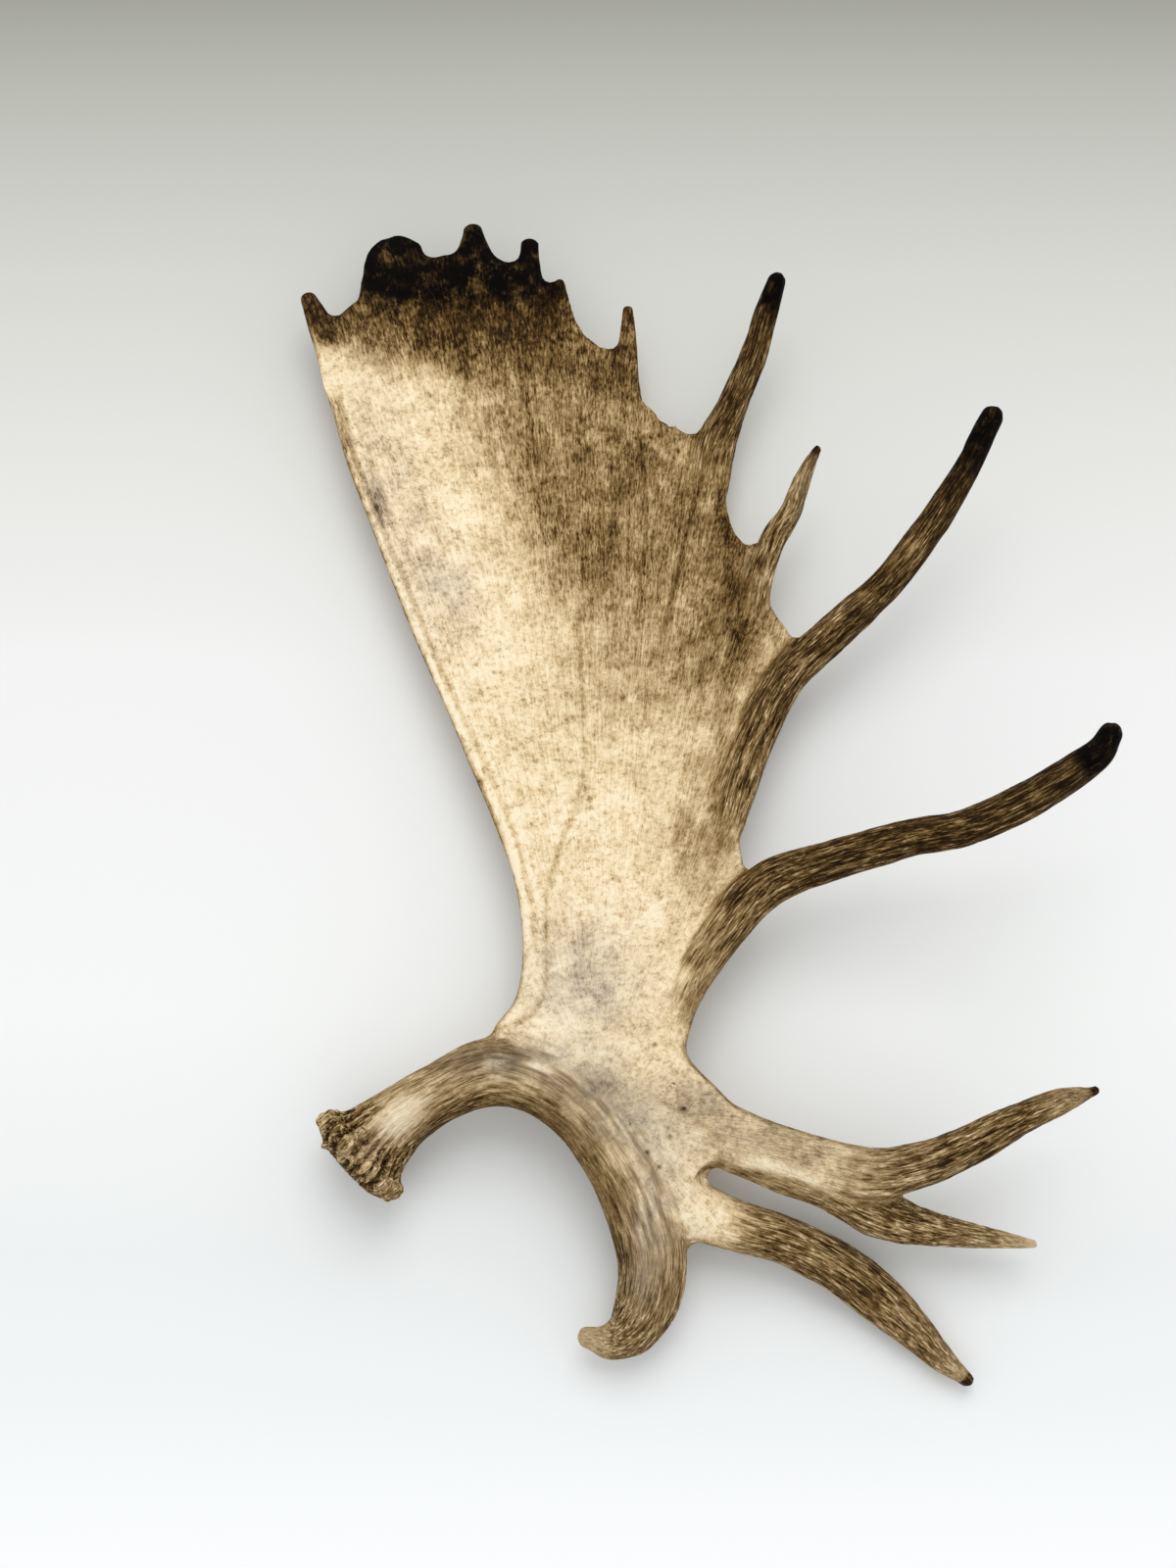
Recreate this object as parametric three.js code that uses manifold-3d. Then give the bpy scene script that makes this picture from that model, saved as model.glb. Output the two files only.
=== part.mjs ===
// A left moose antler, shed by the animal and lying on its back with the open side of the palm up.
// Millimetres, +Z up. The origin is the middle of the footprint, on the ground. The burr is at low x and low y,
// the main palm runs towards +Y, the brow palm towards -Y, and the tines of both grow towards +X.

import * as THREE from "three";
import { LoftGeometry } from "three/addons/geometries/LoftGeometry.js";
import { mergeVertices } from "three/addons/utils/BufferGeometryUtils.js";
import Module from "manifold-3d";

const wasm = await Module();
wasm.setup();

// ---- driving dimensions ----

const joinGap = 0.3; // left between two pieces that meet face to face
const weldWithin = 0.01; // corners closer than this become one
const sliverPasses = 12;
const sectionStep = 19; // spacing of the sections along a tine
const beamStep = 15; // the same along the beam
const pointStep = 14; // and along the short points round the top of the palm
const tineSides = 12; // corners of a tine's section
const beamSides = 18;
const tipAngles = [35, 62, 82]; // where a tip's round end has its sections, in degrees
const pointSides = 10;
const palmSides = 26; // corners of the palm's section, both faces together
const palmRows = 26; // sections along the palm and the brow palm
const palmEndTaper = 0.02; // share of their length over which the sheet rounds off at each end
const palmEndSteps = [0, 0.15, 0.5, 1];
const palmEdgePower = 12; // how late the sheet thins towards its edge: a high power keeps it flat for longer

const burrRadius = 42.5; // mean radius of the coronet, the knobbly ring round the base
const burrKnobs = 11;
const burrKnobHeight = 3;
const burrSides = 44;

const waistY = -195; // the main palm and the beam meet on this plane
const browCutPoint = [-34, -288, 60]; // and the beam and the brow palm on one through here
const browCutNormal = [0.67, -0.74, 0];

const up = new THREE.Vector3(0, 0, 1);

// ---- lines of growth ----
// Each row is the middle of one section: x, y, z, then half the width and half the depth there.

// The beam runs from the burr round the bay and on as the rim of the brow palm, and ends in the hooked first brow tine.
const beamLine = [
  [-246, -311.5, 44.2, 33, 32],
  [-218, -286, 46, 27, 26],
  [-186, -266, 50, 25, 24],
  [-148, -252, 57, 28, 24],
  [-111, -261, 61, 26, 24],
  [-77, -284, 60, 26, 23],
  [-50, -318, 55, 26, 22],
  [-32, -353, 48, 28, 21],
  [-22, -394, 40, 27, 20],
  [-26, -424, 33, 25, 19],
  [-38, -446, 28, 20, 17],
  [-54, -455, 26, 14, 13],
  [-70, -452, 29, 8.5, 8],
];
const hookFreeFrom = 8.2; // the hook is a piece of its own from this row on

// The sheet of both palms, from the brow notch to the top: left edge, middle, right edge, half the thickness.
const palmLine = [
  [[-17, -377, 44], [-5, -374, 44], [6, -375, 44], 14],
  [[-45, -335, 52], [-7, -331, 50], [28, -330, 50], 15],
  [[-79, -291, 60], [-11, -293, 58], [56, -298, 58], 17],
  [[-125, -253, 60], [-45, -259, 64], [31, -268, 60], 18],
  [[-146, -224, 58], [-62, -231, 64], [6, -240, 60], 16],
  [[-128, -194, 56], [-59, -196, 60], [3, -212, 58], 13],
  [[-123, -152, 55], [-47, -148, 52], [26, -160, 58], 10.5],
  [[-131, -96, 52], [-40, -90, 43], [54, -106, 57], 9],
  [[-153, -37, 49], [-49, -24, 35], [50, -65, 54], 8.5],
  [[-182, 32, 46], [-60, 50, 27], [65, -7, 52], 8],
  [[-217, 112, 44], [-73, 125, 20], [88, 56, 50], 8],
  [[-253, 204, 42], [-92, 198, 13.5], [99, 107, 48], 7.5],
  [[-277, 266, 42], [-112, 263, 6], [72, 164, 45], 7],
  [[-290, 311, 42], [-131, 317, 9], [52, 203, 41], 7],
  [[-299, 337, 42], [-147, 357, 14], [41, 260, 36], 6.5],
  [[-303, 352, 42], [-160, 399, 23], [4, 292, 32], 6],
  [[-305, 363, 42], [-174, 429, 33], [-48, 344, 32], 6],
  [[-306, 372, 42], [-188, 456, 41], [-90, 408, 36], 5],
];

// The short points round the top of the palm, from the beam's side across to the tines. They stay part of the palm.
// lean, in degrees, raises the side towards the beam, as the sheet does there.
const palmPoints = [
  {
    lean: 14,
    line: [
      [-273, 316, 36, 18, 4.5],
      [-291, 366, 40, 15.5, 6],
      [-304, 395, 42, 11.5, 6.5],
      [-313, 414, 45, 7.5, 5.5],
    ],
  },
  {
    lean: 6,
    line: [
      [-236, 402, 31, 44, 4.5],
      [-235, 434, 38, 38, 5.5],
      [-234, 455, 41, 32, 6],
      [-233, 464, 42.5, 24, 5.5],
      [-232, 469, 44, 14, 4],
    ],
  },
  {
    lean: 0,
    line: [
      [-170, 419, 30, 34, 5],
      [-171, 451, 39, 23, 6],
      [-171.5, 467, 42, 14, 6.5],
      [-172, 478, 46, 9, 6.5],
    ],
  },
  {
    lean: 0,
    line: [
      [-116, 415, 34, 19, 4.5],
      [-121, 443, 39, 11.5, 6],
      [-122, 463, 45, 8.5, 6],
    ],
  },
  {
    lean: 0,
    line: [
      [-90, 384, 31, 16, 4.5],
      [-94, 411, 37, 9, 5],
      [-95, 424, 42, 4.5, 4.5],
    ],
  },
  {
    lean: 0,
    line: [
      [-33, 299, 22, 22, 5],
      [-37, 334, 28.5, 16, 6.5],
      [-37, 360, 34, 12, 6.5],
      [-36, 380, 40, 8, 6],
      [-36, 399, 46, 4.8, 4.5],
    ],
  },
];

// The tines that are pieces of their own, each from freeFrom on. The rows before that are its root in the palm.
const tines = [
  {
    name: "palm_tine_1",
    freeFrom: 5.1,
    line: [
      [-26, -272, 62, 15, 9],
      [-9, -236, 60, 12, 11],
      [3, -192, 60, 15, 15],
      [33, -145, 64, 17, 16],
      [69, -107, 71, 18, 16],
      [122, -87, 82, 15.5, 15],
      [179, -74, 98, 14.5, 15],
      [221, -69, 118, 14, 14],
      [263, -56, 145, 13.5, 13.5],
      [300, -33, 176, 11.5, 12.5],
      [315, -20, 191, 9.5, 10],
    ],
  },
  {
    name: "palm_tine_2",
    freeFrom: 5.4,
    line: [
      [22, -113, 53, 11, 7],
      [36, -67, 52, 13, 12],
      [50, -16, 51, 16, 14],
      [69, 28, 50, 17.5, 15],
      [92, 71, 52, 17.5, 15],
      [129, 106, 59, 16, 14],
      [167, 140, 70, 14, 14],
      [201, 177, 86, 13, 13],
      [232, 225, 110, 11.5, 11],
      [252, 262, 130, 9.5, 9],
    ],
  },
  {
    name: "palm_tine_3",
    freeFrom: 3.3,
    line: [
      [59, 73, 41, 13, 6],
      [64, 116, 42, 14, 8],
      [70, 155, 46, 12.5, 9.5],
      [83, 190, 52, 11, 9],
      [98, 214, 60, 9, 8],
      [108, 239, 70, 7, 6],
      [118, 259, 77, 4.2, 4],
    ],
  },
  {
    name: "palm_tine_4",
    freeFrom: 3.2,
    line: [
      [18, 202, 28, 15, 6],
      [29, 243, 34, 19, 8.5],
      [37, 282, 36, 18, 10],
      [55, 323, 42, 13, 11],
      [71, 362, 53, 11, 10.5],
      [80, 391, 66, 10.5, 10],
      [88, 409, 80, 8.5, 8.5],
    ],
  },
  {
    name: "brow_tine_2",
    freeFrom: 2.8,
    line: [
      [-22, -340, 50, 28, 12],
      [12, -356, 44, 25, 17],
      [46, -368, 38, 20, 17],
      [84, -380, 32, 18, 16],
      [120, -398, 26, 19.5, 16.5],
      [155, -423, 16.3, 19, 17],
      [178, -443, 15.5, 15.5, 14.5],
      [201, -467, 14, 11, 10.5],
      [219, -482, 13, 6, 6],
    ],
  },
  {
    name: "brow_tine_3",
    freeFrom: 3.6,
    line: [
      [22, -312, 58, 14, 10],
      [80, -331, 55, 15, 14],
      [117, -343, 51, 16, 15],
      [155, -360, 47, 19, 15],
      [193, -371, 45, 13, 12.5],
      [234, -377, 42, 8.5, 8.5],
      [270, -382, 40, 4.7, 5],
    ],
  },
  {
    name: "brow_tine_4",
    freeFrom: 4.6,
    line: [
      [-10, -281, 62, 26, 11],
      [49, -306, 62, 23, 17],
      [101, -321, 64, 20, 16],
      [142, -330, 68, 20, 16],
      [179, -325, 76, 17, 15],
      [215, -311, 90, 15.5, 14],
      [246, -295, 104, 13, 12.5],
      [281, -280, 118, 9.5, 9.5],
      [303, -273, 127, 4.7, 5],
    ],
  },
];

// ---- solids ----

// A closed three.js geometry as a manifold-3d solid.
function solidOf(geometry) {
  const bare = new THREE.BufferGeometry().copy(geometry);
  bare.deleteAttribute("normal");
  bare.deleteAttribute("uv");
  const merged = mergeVertices(bare, 1e-3);
  return new wasm.Manifold(
    new wasm.Mesh({
      numProp: 3,
      vertProperties: merged.attributes.position.array,
      triVerts: new Uint32Array(merged.index.array),
    }),
  );
}

const loft = (sections) =>
  solidOf(new LoftGeometry(sections, { capStart: true, capEnd: true }));

const fuse = (solids) => solids.reduce((whole, solid) => whole.add(solid));

// Everything on the side of a plane that its normal points to, out to well past the antler.
function sideOf(point, normal) {
  const reach = 3000;
  const block = new THREE.BoxGeometry(reach, reach, reach);
  const direction = new THREE.Vector3(...normal).normalize();
  block.translate(0, 0, reach / 2);
  block.applyQuaternion(new THREE.Quaternion().setFromUnitVectors(up, direction));
  block.translate(...point);
  return solidOf(block);
}

// An elliptical section across a line of growth: its width lies level, or leans, and its depth stands up.
function ellipse({ middle, along, halfWidth, halfDepth }, { sides, lean = 0, knobs = () => 1 }) {
  const across = new THREE.Vector3().crossVectors(up, along).normalize();
  across.applyAxisAngle(along, THREE.MathUtils.degToRad(lean));
  const over = new THREE.Vector3().crossVectors(along, across);
  return Array.from({ length: sides }, (_, i) => {
    const angle = (i / sides) * 2 * Math.PI;
    const swell = knobs(angle);
    return middle
      .clone()
      .addScaledVector(across, halfWidth * swell * Math.cos(angle))
      .addScaledVector(over, halfDepth * swell * Math.sin(angle));
  });
}

// The smooth line through the rows of a limb. Row numbers may be fractions.
function growthOf(line) {
  const middles = new THREE.CatmullRomCurve3(line.map(([x, y, z]) => new THREE.Vector3(x, y, z)));
  const sizes = new THREE.CatmullRomCurve3(line.map(([, , , a, b]) => new THREE.Vector3(a, b, 0)));
  const lastRow = line.length - 1;
  return {
    lastRow,
    at(row, shift = 0) {
      const along = middles.getTangent(row / lastRow);
      const middle = middles.getPoint(row / lastRow).addScaledVector(along, shift);
      const size = sizes.getPoint(row / lastRow);
      return { middle, along, halfWidth: size.x, halfDepth: size.y };
    },
    lengthBetween(from, to) {
      const steps = 40;
      const points = Array.from({ length: steps + 1 }, (_, i) =>
        middles.getPoint((from + ((to - from) * i) / steps) / lastRow),
      );
      return points.slice(1).reduce((sum, point, i) => sum + point.distanceTo(points[i]), 0);
    },
  };
}

// A limb from one row of its line to another, with a flat end at a cut and a rounded one at the tip.
function limb(line, { sides = tineSides, step = sectionStep, from = 0, to = line.length - 1, lean = 0 } = {}) {
  const growth = growthOf(line);
  const count = Math.max(2, Math.round(growth.lengthBetween(from, to) / step));
  const sections = Array.from({ length: count + 1 }, (_, i) =>
    ellipse(growth.at(from + ((to - from) * i) / count, i === 0 && from > 0 ? joinGap : 0), { sides, lean }),
  );
  if (to === growth.lastRow) {
    const { middle, along, halfWidth, halfDepth } = growth.at(to);
    const tipRadius = Math.min(halfWidth, halfDepth);
    for (const angle of tipAngles.map(THREE.MathUtils.degToRad)) {
      const section = {
        middle: middle.clone().addScaledVector(along, tipRadius * Math.sin(angle)),
        along,
        halfWidth: halfWidth * Math.cos(angle),
        halfDepth: halfDepth * Math.cos(angle),
      };
      sections.push(ellipse(section, { sides, lean }));
    }
  }
  return loft(sections);
}

// The sheet of both palms. At each station a parabola through three curves is its middle, dished between raised edges.
// It thins to nothing at both ends, where its two faces close on each other.
function palmSheet() {
  const curve = (column) => new THREE.CatmullRomCurve3(palmLine.map((row) => new THREE.Vector3(...row[column])));
  const [left, middle, right] = [curve(0), curve(1), curve(2)];
  const thickness = new THREE.CatmullRomCurve3(palmLine.map((row) => new THREE.Vector3(row[3], 0, 0)));
  const even = Array.from({ length: palmRows - 1 }, (_, i) => (i + 1) / palmRows);
  const ends = palmEndSteps.map((step) => step * palmEndTaper);
  const stations = [...ends, ...even, ...ends.map((v) => 1 - v).reverse()];
  const sections = stations.map((v) => {
    const [a, m, b] = [left.getPoint(v), middle.getPoint(v), right.getPoint(v)];
    const fromEnd = Math.min(1, v / palmEndTaper, (1 - v) / palmEndTaper);
    const half = thickness.getPoint(v).x * Math.sqrt(1 - (1 - fromEnd) ** 2);
    return Array.from({ length: palmSides }, (_, j) => {
      const angle = (j / palmSides) * 2 * Math.PI;
      const s = Math.cos(angle);
      const point = new THREE.Vector3()
        .addScaledVector(a, (s * (s - 1)) / 2)
        .addScaledVector(m, 1 - s * s)
        .addScaledVector(b, (s * (s + 1)) / 2);
      point.z -= Math.sign(Math.sin(angle)) * half * Math.sqrt(1 - Math.abs(s) ** palmEdgePower);
      return point;
    });
  });
  return solidOf(new LoftGeometry(sections));
}

// The coronet: a flared ring of knobs with the slightly domed seal where the antler left the skull.
function burr() {
  const growth = growthOf(beamLine);
  const { middle, along } = growth.at(0);
  const knobs = (strength) => (angle) =>
    1 + (strength * burrKnobHeight * Math.sin(burrKnobs * angle + 0.6 * Math.cos(angle))) / burrRadius;
  // Distance along the beam, share of the burr's radius, and how strong the knobs are.
  const rings = [
    [-16, 0.32, 0],
    [-13.5, 0.62, 0.1],
    [-9, 0.87, 0.6],
    [-3, 1, 1],
    [3, 0.97, 1],
    [10, 0.87, 0.6],
    [20, 0.73, 0.2],
    [30, 0.6, 0],
  ];
  return loft(
    rings.map(([distance, share, strength]) => {
      const radius = burrRadius * share;
      const centre = middle.clone().addScaledVector(along, distance);
      const section = { middle: centre, along, halfWidth: radius, halfDepth: radius };
      return ellipse(section, { sides: burrSides, knobs: knobs(strength) });
    }),
  );
}

// ---- the grown antler, parted at its main forks ----

const ground = sideOf([0, 0, 0], [0, 0, 1]);
const grown = fuse([
  palmSheet(),
  burr(),
  limb(beamLine, { sides: beamSides, step: beamStep, to: hookFreeFrom }),
  ...palmPoints.map(({ line, lean }) => limb(line, { sides: pointSides, step: pointStep, lean })),
  ...tines.map(({ line, freeFrom }) => limb(line, { to: freeFrom })),
]).intersect(ground);

const shiftAlong = (point, normal, distance) => {
  const length = Math.hypot(...normal);
  return point.map((value, i) => value + (normal[i] / length) * distance);
};

const towardsPalm = [0, 1, 0];
const waistPoint = [0, waistY, 0];
const palmSide = sideOf(shiftAlong(waistPoint, towardsPalm, joinGap / 2), towardsPalm);
const belowWaist = grown.subtract(sideOf(shiftAlong(waistPoint, towardsPalm, -joinGap / 2), towardsPalm));
const browSide = sideOf(shiftAlong(browCutPoint, browCutNormal, joinGap / 2), browCutNormal);
const beamSide = sideOf(shiftAlong(browCutPoint, browCutNormal, -joinGap / 2), browCutNormal.map((n) => -n));

// ---- nodes ----

const paleAntler = new THREE.MeshStandardMaterial({ color: 0xc9b48c, roughness: 0.62, metalness: 0 });
const brownAntler = new THREE.MeshStandardMaterial({ color: 0x6e5534, roughness: 0.58, metalness: 0 });

// The triangles of a joined solid, with corners closer than weldWithin made one. Joins also leave slivers, flat
// triangles whose third corner all but lies on their long side: that side is turned to run to the corner instead.
function tidied(geometry) {
  const merged = mergeVertices(geometry, weldWithin);
  const corner = (i) => new THREE.Vector3().fromBufferAttribute(merged.attributes.position, i);
  const indices = Array.from(merged.index.array);
  const faces = Array.from({ length: indices.length / 3 }, (_, f) => indices.slice(3 * f, 3 * f + 3)).filter(
    ([a, b, c]) => a !== b && b !== c && c !== a,
  );
  for (let pass = 0; pass < sliverPasses; pass++) {
    const faceBeside = new Map();
    faces.forEach((face, f) => face.forEach((a, i) => faceBeside.set(`${a},${face[(i + 1) % 3]}`, f)));
    const busy = new Set();
    faces.forEach((face, f) => {
      if (face.some((i) => busy.has(i))) return;
      const sides = face.map((a, i) => corner(a).distanceTo(corner(face[(i + 1) % 3])));
      const longest = sides.indexOf(Math.max(...sides));
      const [a, b, c] = [0, 1, 2].map((i) => face[(longest + i) % 3]);
      const area = new THREE.Triangle(corner(a), corner(b), corner(c)).getArea();
      if ((2 * area) / sides[longest] > weldWithin) return;
      const g = faceBeside.get(`${b},${a}`);
      const d = faces[g].find((i) => i !== a && i !== b);
      if (d === c || busy.has(d) || faceBeside.has(`${c},${d}`) || faceBeside.has(`${d},${c}`)) return;
      faces[f] = [a, d, c];
      faces[g] = [d, b, c];
      [a, b, c, d].forEach((i) => busy.add(i));
    });
  }
  merged.setIndex(faces.flat());
  return merged;
}

function meshOf(name, solid, material) {
  const { vertProperties, triVerts } = solid.getMesh();
  const bare = new THREE.BufferGeometry();
  bare.setAttribute("position", new THREE.BufferAttribute(vertProperties, 3));
  bare.setIndex(new THREE.BufferAttribute(triVerts, 1));
  const geometry = tidied(bare);
  geometry.computeVertexNormals();
  const mesh = new THREE.Mesh(geometry, material);
  mesh.name = name;
  return mesh;
}

const antler = new THREE.Group();
antler.add(meshOf("palm", grown.intersect(palmSide), paleAntler));
antler.add(meshOf("beam", belowWaist.intersect(beamSide), paleAntler));
antler.add(meshOf("brow_palm", belowWaist.intersect(browSide), paleAntler));
antler.add(
  meshOf(
    "brow_tine_1",
    limb(beamLine, { sides: beamSides, step: beamStep, from: hookFreeFrom }).intersect(ground),
    brownAntler,
  ),
);
for (const { name, line, freeFrom } of tines) {
  antler.add(meshOf(name, limb(line, { from: freeFrom }).intersect(ground), brownAntler));
}

export default antler;
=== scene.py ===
# A shed left moose antler, lying on its back with the open side of its palm up.
# Everything is in metres in the CAD model's frame: the burr at low X and low Y, the palm towards +Y, and
# the tines towards +X. Rows and lines of numbers are in millimetres.

import math

import bmesh
import bpy
import numpy as np
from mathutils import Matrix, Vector
from mathutils.kdtree import KDTree


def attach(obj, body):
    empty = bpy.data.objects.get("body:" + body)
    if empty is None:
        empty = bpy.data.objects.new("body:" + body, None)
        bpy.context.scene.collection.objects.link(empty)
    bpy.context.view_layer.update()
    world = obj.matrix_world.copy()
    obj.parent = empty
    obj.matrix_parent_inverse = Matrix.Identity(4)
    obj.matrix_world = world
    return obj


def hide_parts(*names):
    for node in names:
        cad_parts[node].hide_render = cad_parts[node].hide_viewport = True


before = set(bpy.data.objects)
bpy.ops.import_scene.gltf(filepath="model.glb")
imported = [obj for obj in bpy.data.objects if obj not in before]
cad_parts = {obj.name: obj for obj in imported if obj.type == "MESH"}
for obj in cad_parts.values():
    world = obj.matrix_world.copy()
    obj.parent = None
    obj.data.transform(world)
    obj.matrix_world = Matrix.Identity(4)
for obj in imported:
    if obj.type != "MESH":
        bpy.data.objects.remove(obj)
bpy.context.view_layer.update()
mm = 0.001
up = np.array([0.0, 0.0, 1.0])
print("frame loaded")

# Each row is the middle of one section: x, y, z, then half the width and half the depth there.
# A shade row is: row number, brown, cream streaks, soot, ivory.

# The beam goes from the burr round the bay and on as the rim of the brow palm. It ends in the hooked tine.
beam = {
    "line": [
        [-248, -314.5, 44.2, 33, 32], [-218, -286.5, 46, 25.5, 26], [-186, -266.5, 50, 23.5, 24],
        [-148, -252, 57, 26.5, 24], [-111, -260, 61, 25, 24], [-77, -283, 60, 25, 23],
        [-50, -318, 55, 26, 22], [-32, -353, 48, 28, 21], [-22, -394, 40, 27, 20], [-26, -424, 33, 25, 19],
        [-38, -446, 28, 20, 17], [-54, -455, 26, 14, 13], [-70, -452, 29, 8.5, 8],
    ],
    "hookFreeFrom": 8.2,
    "freeRows": [[1.5, 1], [3, 0], [7.3, 0], [8.6, 1]],  # row, and 1 where it's free, 0 in a palm
    "shades": [
        [0, 0.77, 1, 0, 0], [0.5, 0.7, 0.9, 0, 0], [1, 0.42, 0.6, 0, 0], [3, 0.46, 0.6, 0, 0],
        [4.2, 0.34, 0.5, 0, 0], [6, 0.3, 0.5, 0, 0], [8, 0.44, 0.7, 0, 0], [9.5, 0.68, 1, 0, 0],
        [11, 0.6, 1, 0, 0.1], [12, 0.35, 0.8, 0, 0.6],
    ],
}

# The sheet of both palms, from the brow notch to the top: left edge, middle, right edge, half the thickness.
palm = {
    "line": [
        [[-17, -377, 44], [-5, -374, 44], [6, -375, 44], 14],
        [[-45, -335, 52], [-9, -331, 50], [14, -331, 50], 15],
        [[-79, -291, 60], [-11, -293, 58], [56, -298, 58], 17],
        [[-125, -253, 60], [-45, -259, 64], [31, -268, 60], 18],
        [[-146, -224, 58], [-62, -231, 64], [6, -240, 60], 16],
        [[-128, -194, 56], [-59, -196, 60], [3, -212, 58], 13],
        [[-123, -152, 55], [-47, -148, 52], [26, -160, 58], 10.5],
        [[-131, -96, 52], [-40, -90, 43], [54, -106, 57], 9],
        [[-153, -37, 49], [-49, -24, 35], [50, -65, 54], 8.5],
        [[-182, 32, 46], [-60, 50, 27], [65, -7, 52], 8],
        [[-217, 112, 44], [-73, 125, 20], [88, 56, 50], 8],
        [[-253, 204, 42], [-92, 198, 13.5], [96, 106, 48], 7.5],
        [[-265.5, 235.5, 42], [-102, 230.5, 9], [83, 128, 47], 7.2],
        [[-277, 266, 42], [-112, 263, 6], [68, 164, 45], 7],
        [[-284, 289, 42], [-121, 290, 6.8], [61, 188, 44], 7],
        [[-290, 311, 42], [-131, 317, 9], [51, 203, 41], 7],
        [[-300, 340, 42], [-147, 360, 14], [39, 261, 36], 6.5],
        [[-302, 349, 42], [-153.5, 381.5, 18.5], [21, 290, 34], 6.2],
        [[-304, 357, 42], [-160, 403, 23], [-1, 295, 32], 6],
        [[-305, 363, 42], [-167, 419, 28], [-20, 319, 32], 6],
        [[-306, 369, 42], [-174, 434, 33], [-50, 368, 32], 6],
        [[-306.5, 374, 42], [-181, 448, 37], [-71, 378, 34], 5.7],
        [[-307, 379, 42], [-188, 461, 41], [-92, 408, 36], 5.5],
    ],
    "edgePower": 12,  # how late the sheet thins towards its edge
    "edgeReach": 1.006,  # how far past its edge lines it goes, because joining the skin wears its edges
    "endTaper": 0.02,  # share of its length over which it rounds off at each end
    "endSections": [0, 0.08, 0.2, 0.4, 0.7],  # where in that taper it has sections
    "rows": 220,
    "sides": 128,
}

# The short points round the top of the palm, from the beam's side across to the tines. Each leans sideways
# by so many degrees.
palmPoints = [
    {
        "lean": 14,
        "line": [
            [-273, 316, 36, 18, 4.5], [-291, 366, 40, 15.5, 6], [-304, 395, 42, 11.5, 6.5],
            [-313, 414, 45, 7.5, 5.5],
        ],
    },
    {
        "lean": 6,
        "line": [
            [-235, 402, 31, 41, 4.5], [-234, 434, 38, 36, 5.5], [-234, 455, 41, 32, 6],
            [-232, 464, 42.5, 25, 5.5], [-230, 469, 44, 15, 4],
        ],
    },
    {
        "lean": 0,
        "line": [
            [-170, 419, 30, 34, 5], [-171, 451, 39, 23, 6], [-171.5, 467, 42, 14, 6.5],
            [-172, 478, 46, 9, 6.5],
        ],
    },
    {"lean": 0, "line": [[-118, 415, 34, 17, 4.5], [-122, 443, 39, 10.5, 6], [-122.5, 465, 45, 8.5, 6.5]]},
    {"lean": 0, "line": [[-92, 384, 31, 14, 4.5], [-95, 413, 37, 9, 6], [-96, 428, 43, 5.5, 5.5]]},
    {
        "lean": 0,
        "line": [
            [-37, 299, 22, 18, 5], [-39.5, 334, 28.5, 14, 6.5], [-39, 360, 34, 11.5, 6.5],
            [-37, 380, 40, 8, 6], [-37, 401, 47, 5.2, 5],
        ],
    },
]

# The tines that are pieces of their own, each from freeFrom on. The rows before that are its root in the
# palm: its own look comes in over rootRows, and a rootWidth under 1 narrows that on the palm's side.
lowPalmTine = {
    "piece": "palm_tine_1",
    "rootWidth": 0.66,
    "rootRows": [0.4, 1.8],
    "freeFrom": 5.1,
    "line": [
        [-26, -272, 62, 15, 9], [-9, -236, 60, 12, 11], [3, -192, 60, 15, 15], [33, -145, 64, 17, 16],
        [69, -107, 71, 18, 16], [122, -88.5, 82, 15.2, 15], [179, -75, 98, 14.5, 15], [221, -70, 118, 14, 14],
        [262, -55.5, 145, 13.5, 13.5], [295, -38, 175, 12.5, 12.5], [309, -28, 186, 11, 11],
        [315, -18, 191, 8.8, 8.8],
    ],
    "shades": [
        [0.5, 0, 0.5, 0, 0], [1.4, 0.3, 1, 0, 0], [2.4, 0.66, 1, 0, 0], [4, 0.84, 0.8, 0, 0],
        [6, 0.92, 0.6, 0, 0], [8, 0.94, 0.4, 0.15, 0], [9, 0.95, 0.2, 0.6, 0], [9.5, 1, 0.1, 1, 0],
        [11, 1, 0.2, 0.9, 0],
    ],
}
longPalmTine = {
    "piece": "palm_tine_2",
    "rootWidth": 0.66,
    "rootRows": [0, 1.2],
    "freeFrom": 5.4,
    "line": [
        [22, -113, 53, 11, 7], [36, -67, 52, 13, 12], [50.5, -17, 51, 17.5, 14], [68, 27, 50, 17, 14],
        [92, 70, 52, 15.5, 14], [129.5, 106, 59, 15.5, 14], [168, 140, 70, 14, 14], [201, 178, 86, 13, 13],
        [232.5, 224, 110, 11.5, 11], [253.5, 264, 130, 9.5, 9.2],
    ],
    "shades": [
        [0, 0.1, 0.6, 0, 0], [0.6, 0.35, 1, 0, 0], [1.6, 0.72, 1, 0, 0], [4, 0.84, 0.8, 0, 0],
        [5.5, 0.88, 0.6, 0, 0], [7, 0.9, 0.4, 0.1, 0], [8.1, 0.95, 0.2, 0.7, 0], [8.6, 1, 0.1, 1, 0],
        [9, 1, 0.2, 0.95, 0],
    ],
}
smallPalmTine = {
    "piece": "palm_tine_3",
    "rootRows": [0.2, 1.6],
    "freeFrom": 3.3,
    "line": [
        [59, 73, 41, 13, 6], [64, 116, 42, 14, 8], [70, 155, 46, 12.5, 9.5], [83, 190, 52, 11, 9],
        [98, 214, 60, 9, 8], [108, 239, 70, 7, 6], [118, 259, 77, 4.2, 4],
    ],
    "shades": [
        [0.3, 0, 0.6, 0, 0], [1.6, 0.57, 1, 0, 0], [3.5, 0.72, 1, 0, 0], [5, 0.62, 0.9, 0, 0.2],
        [5.8, 0.8, 0.5, 0, 0.1], [6, 1, 0.1, 0.5, 0],
    ],
}
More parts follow.
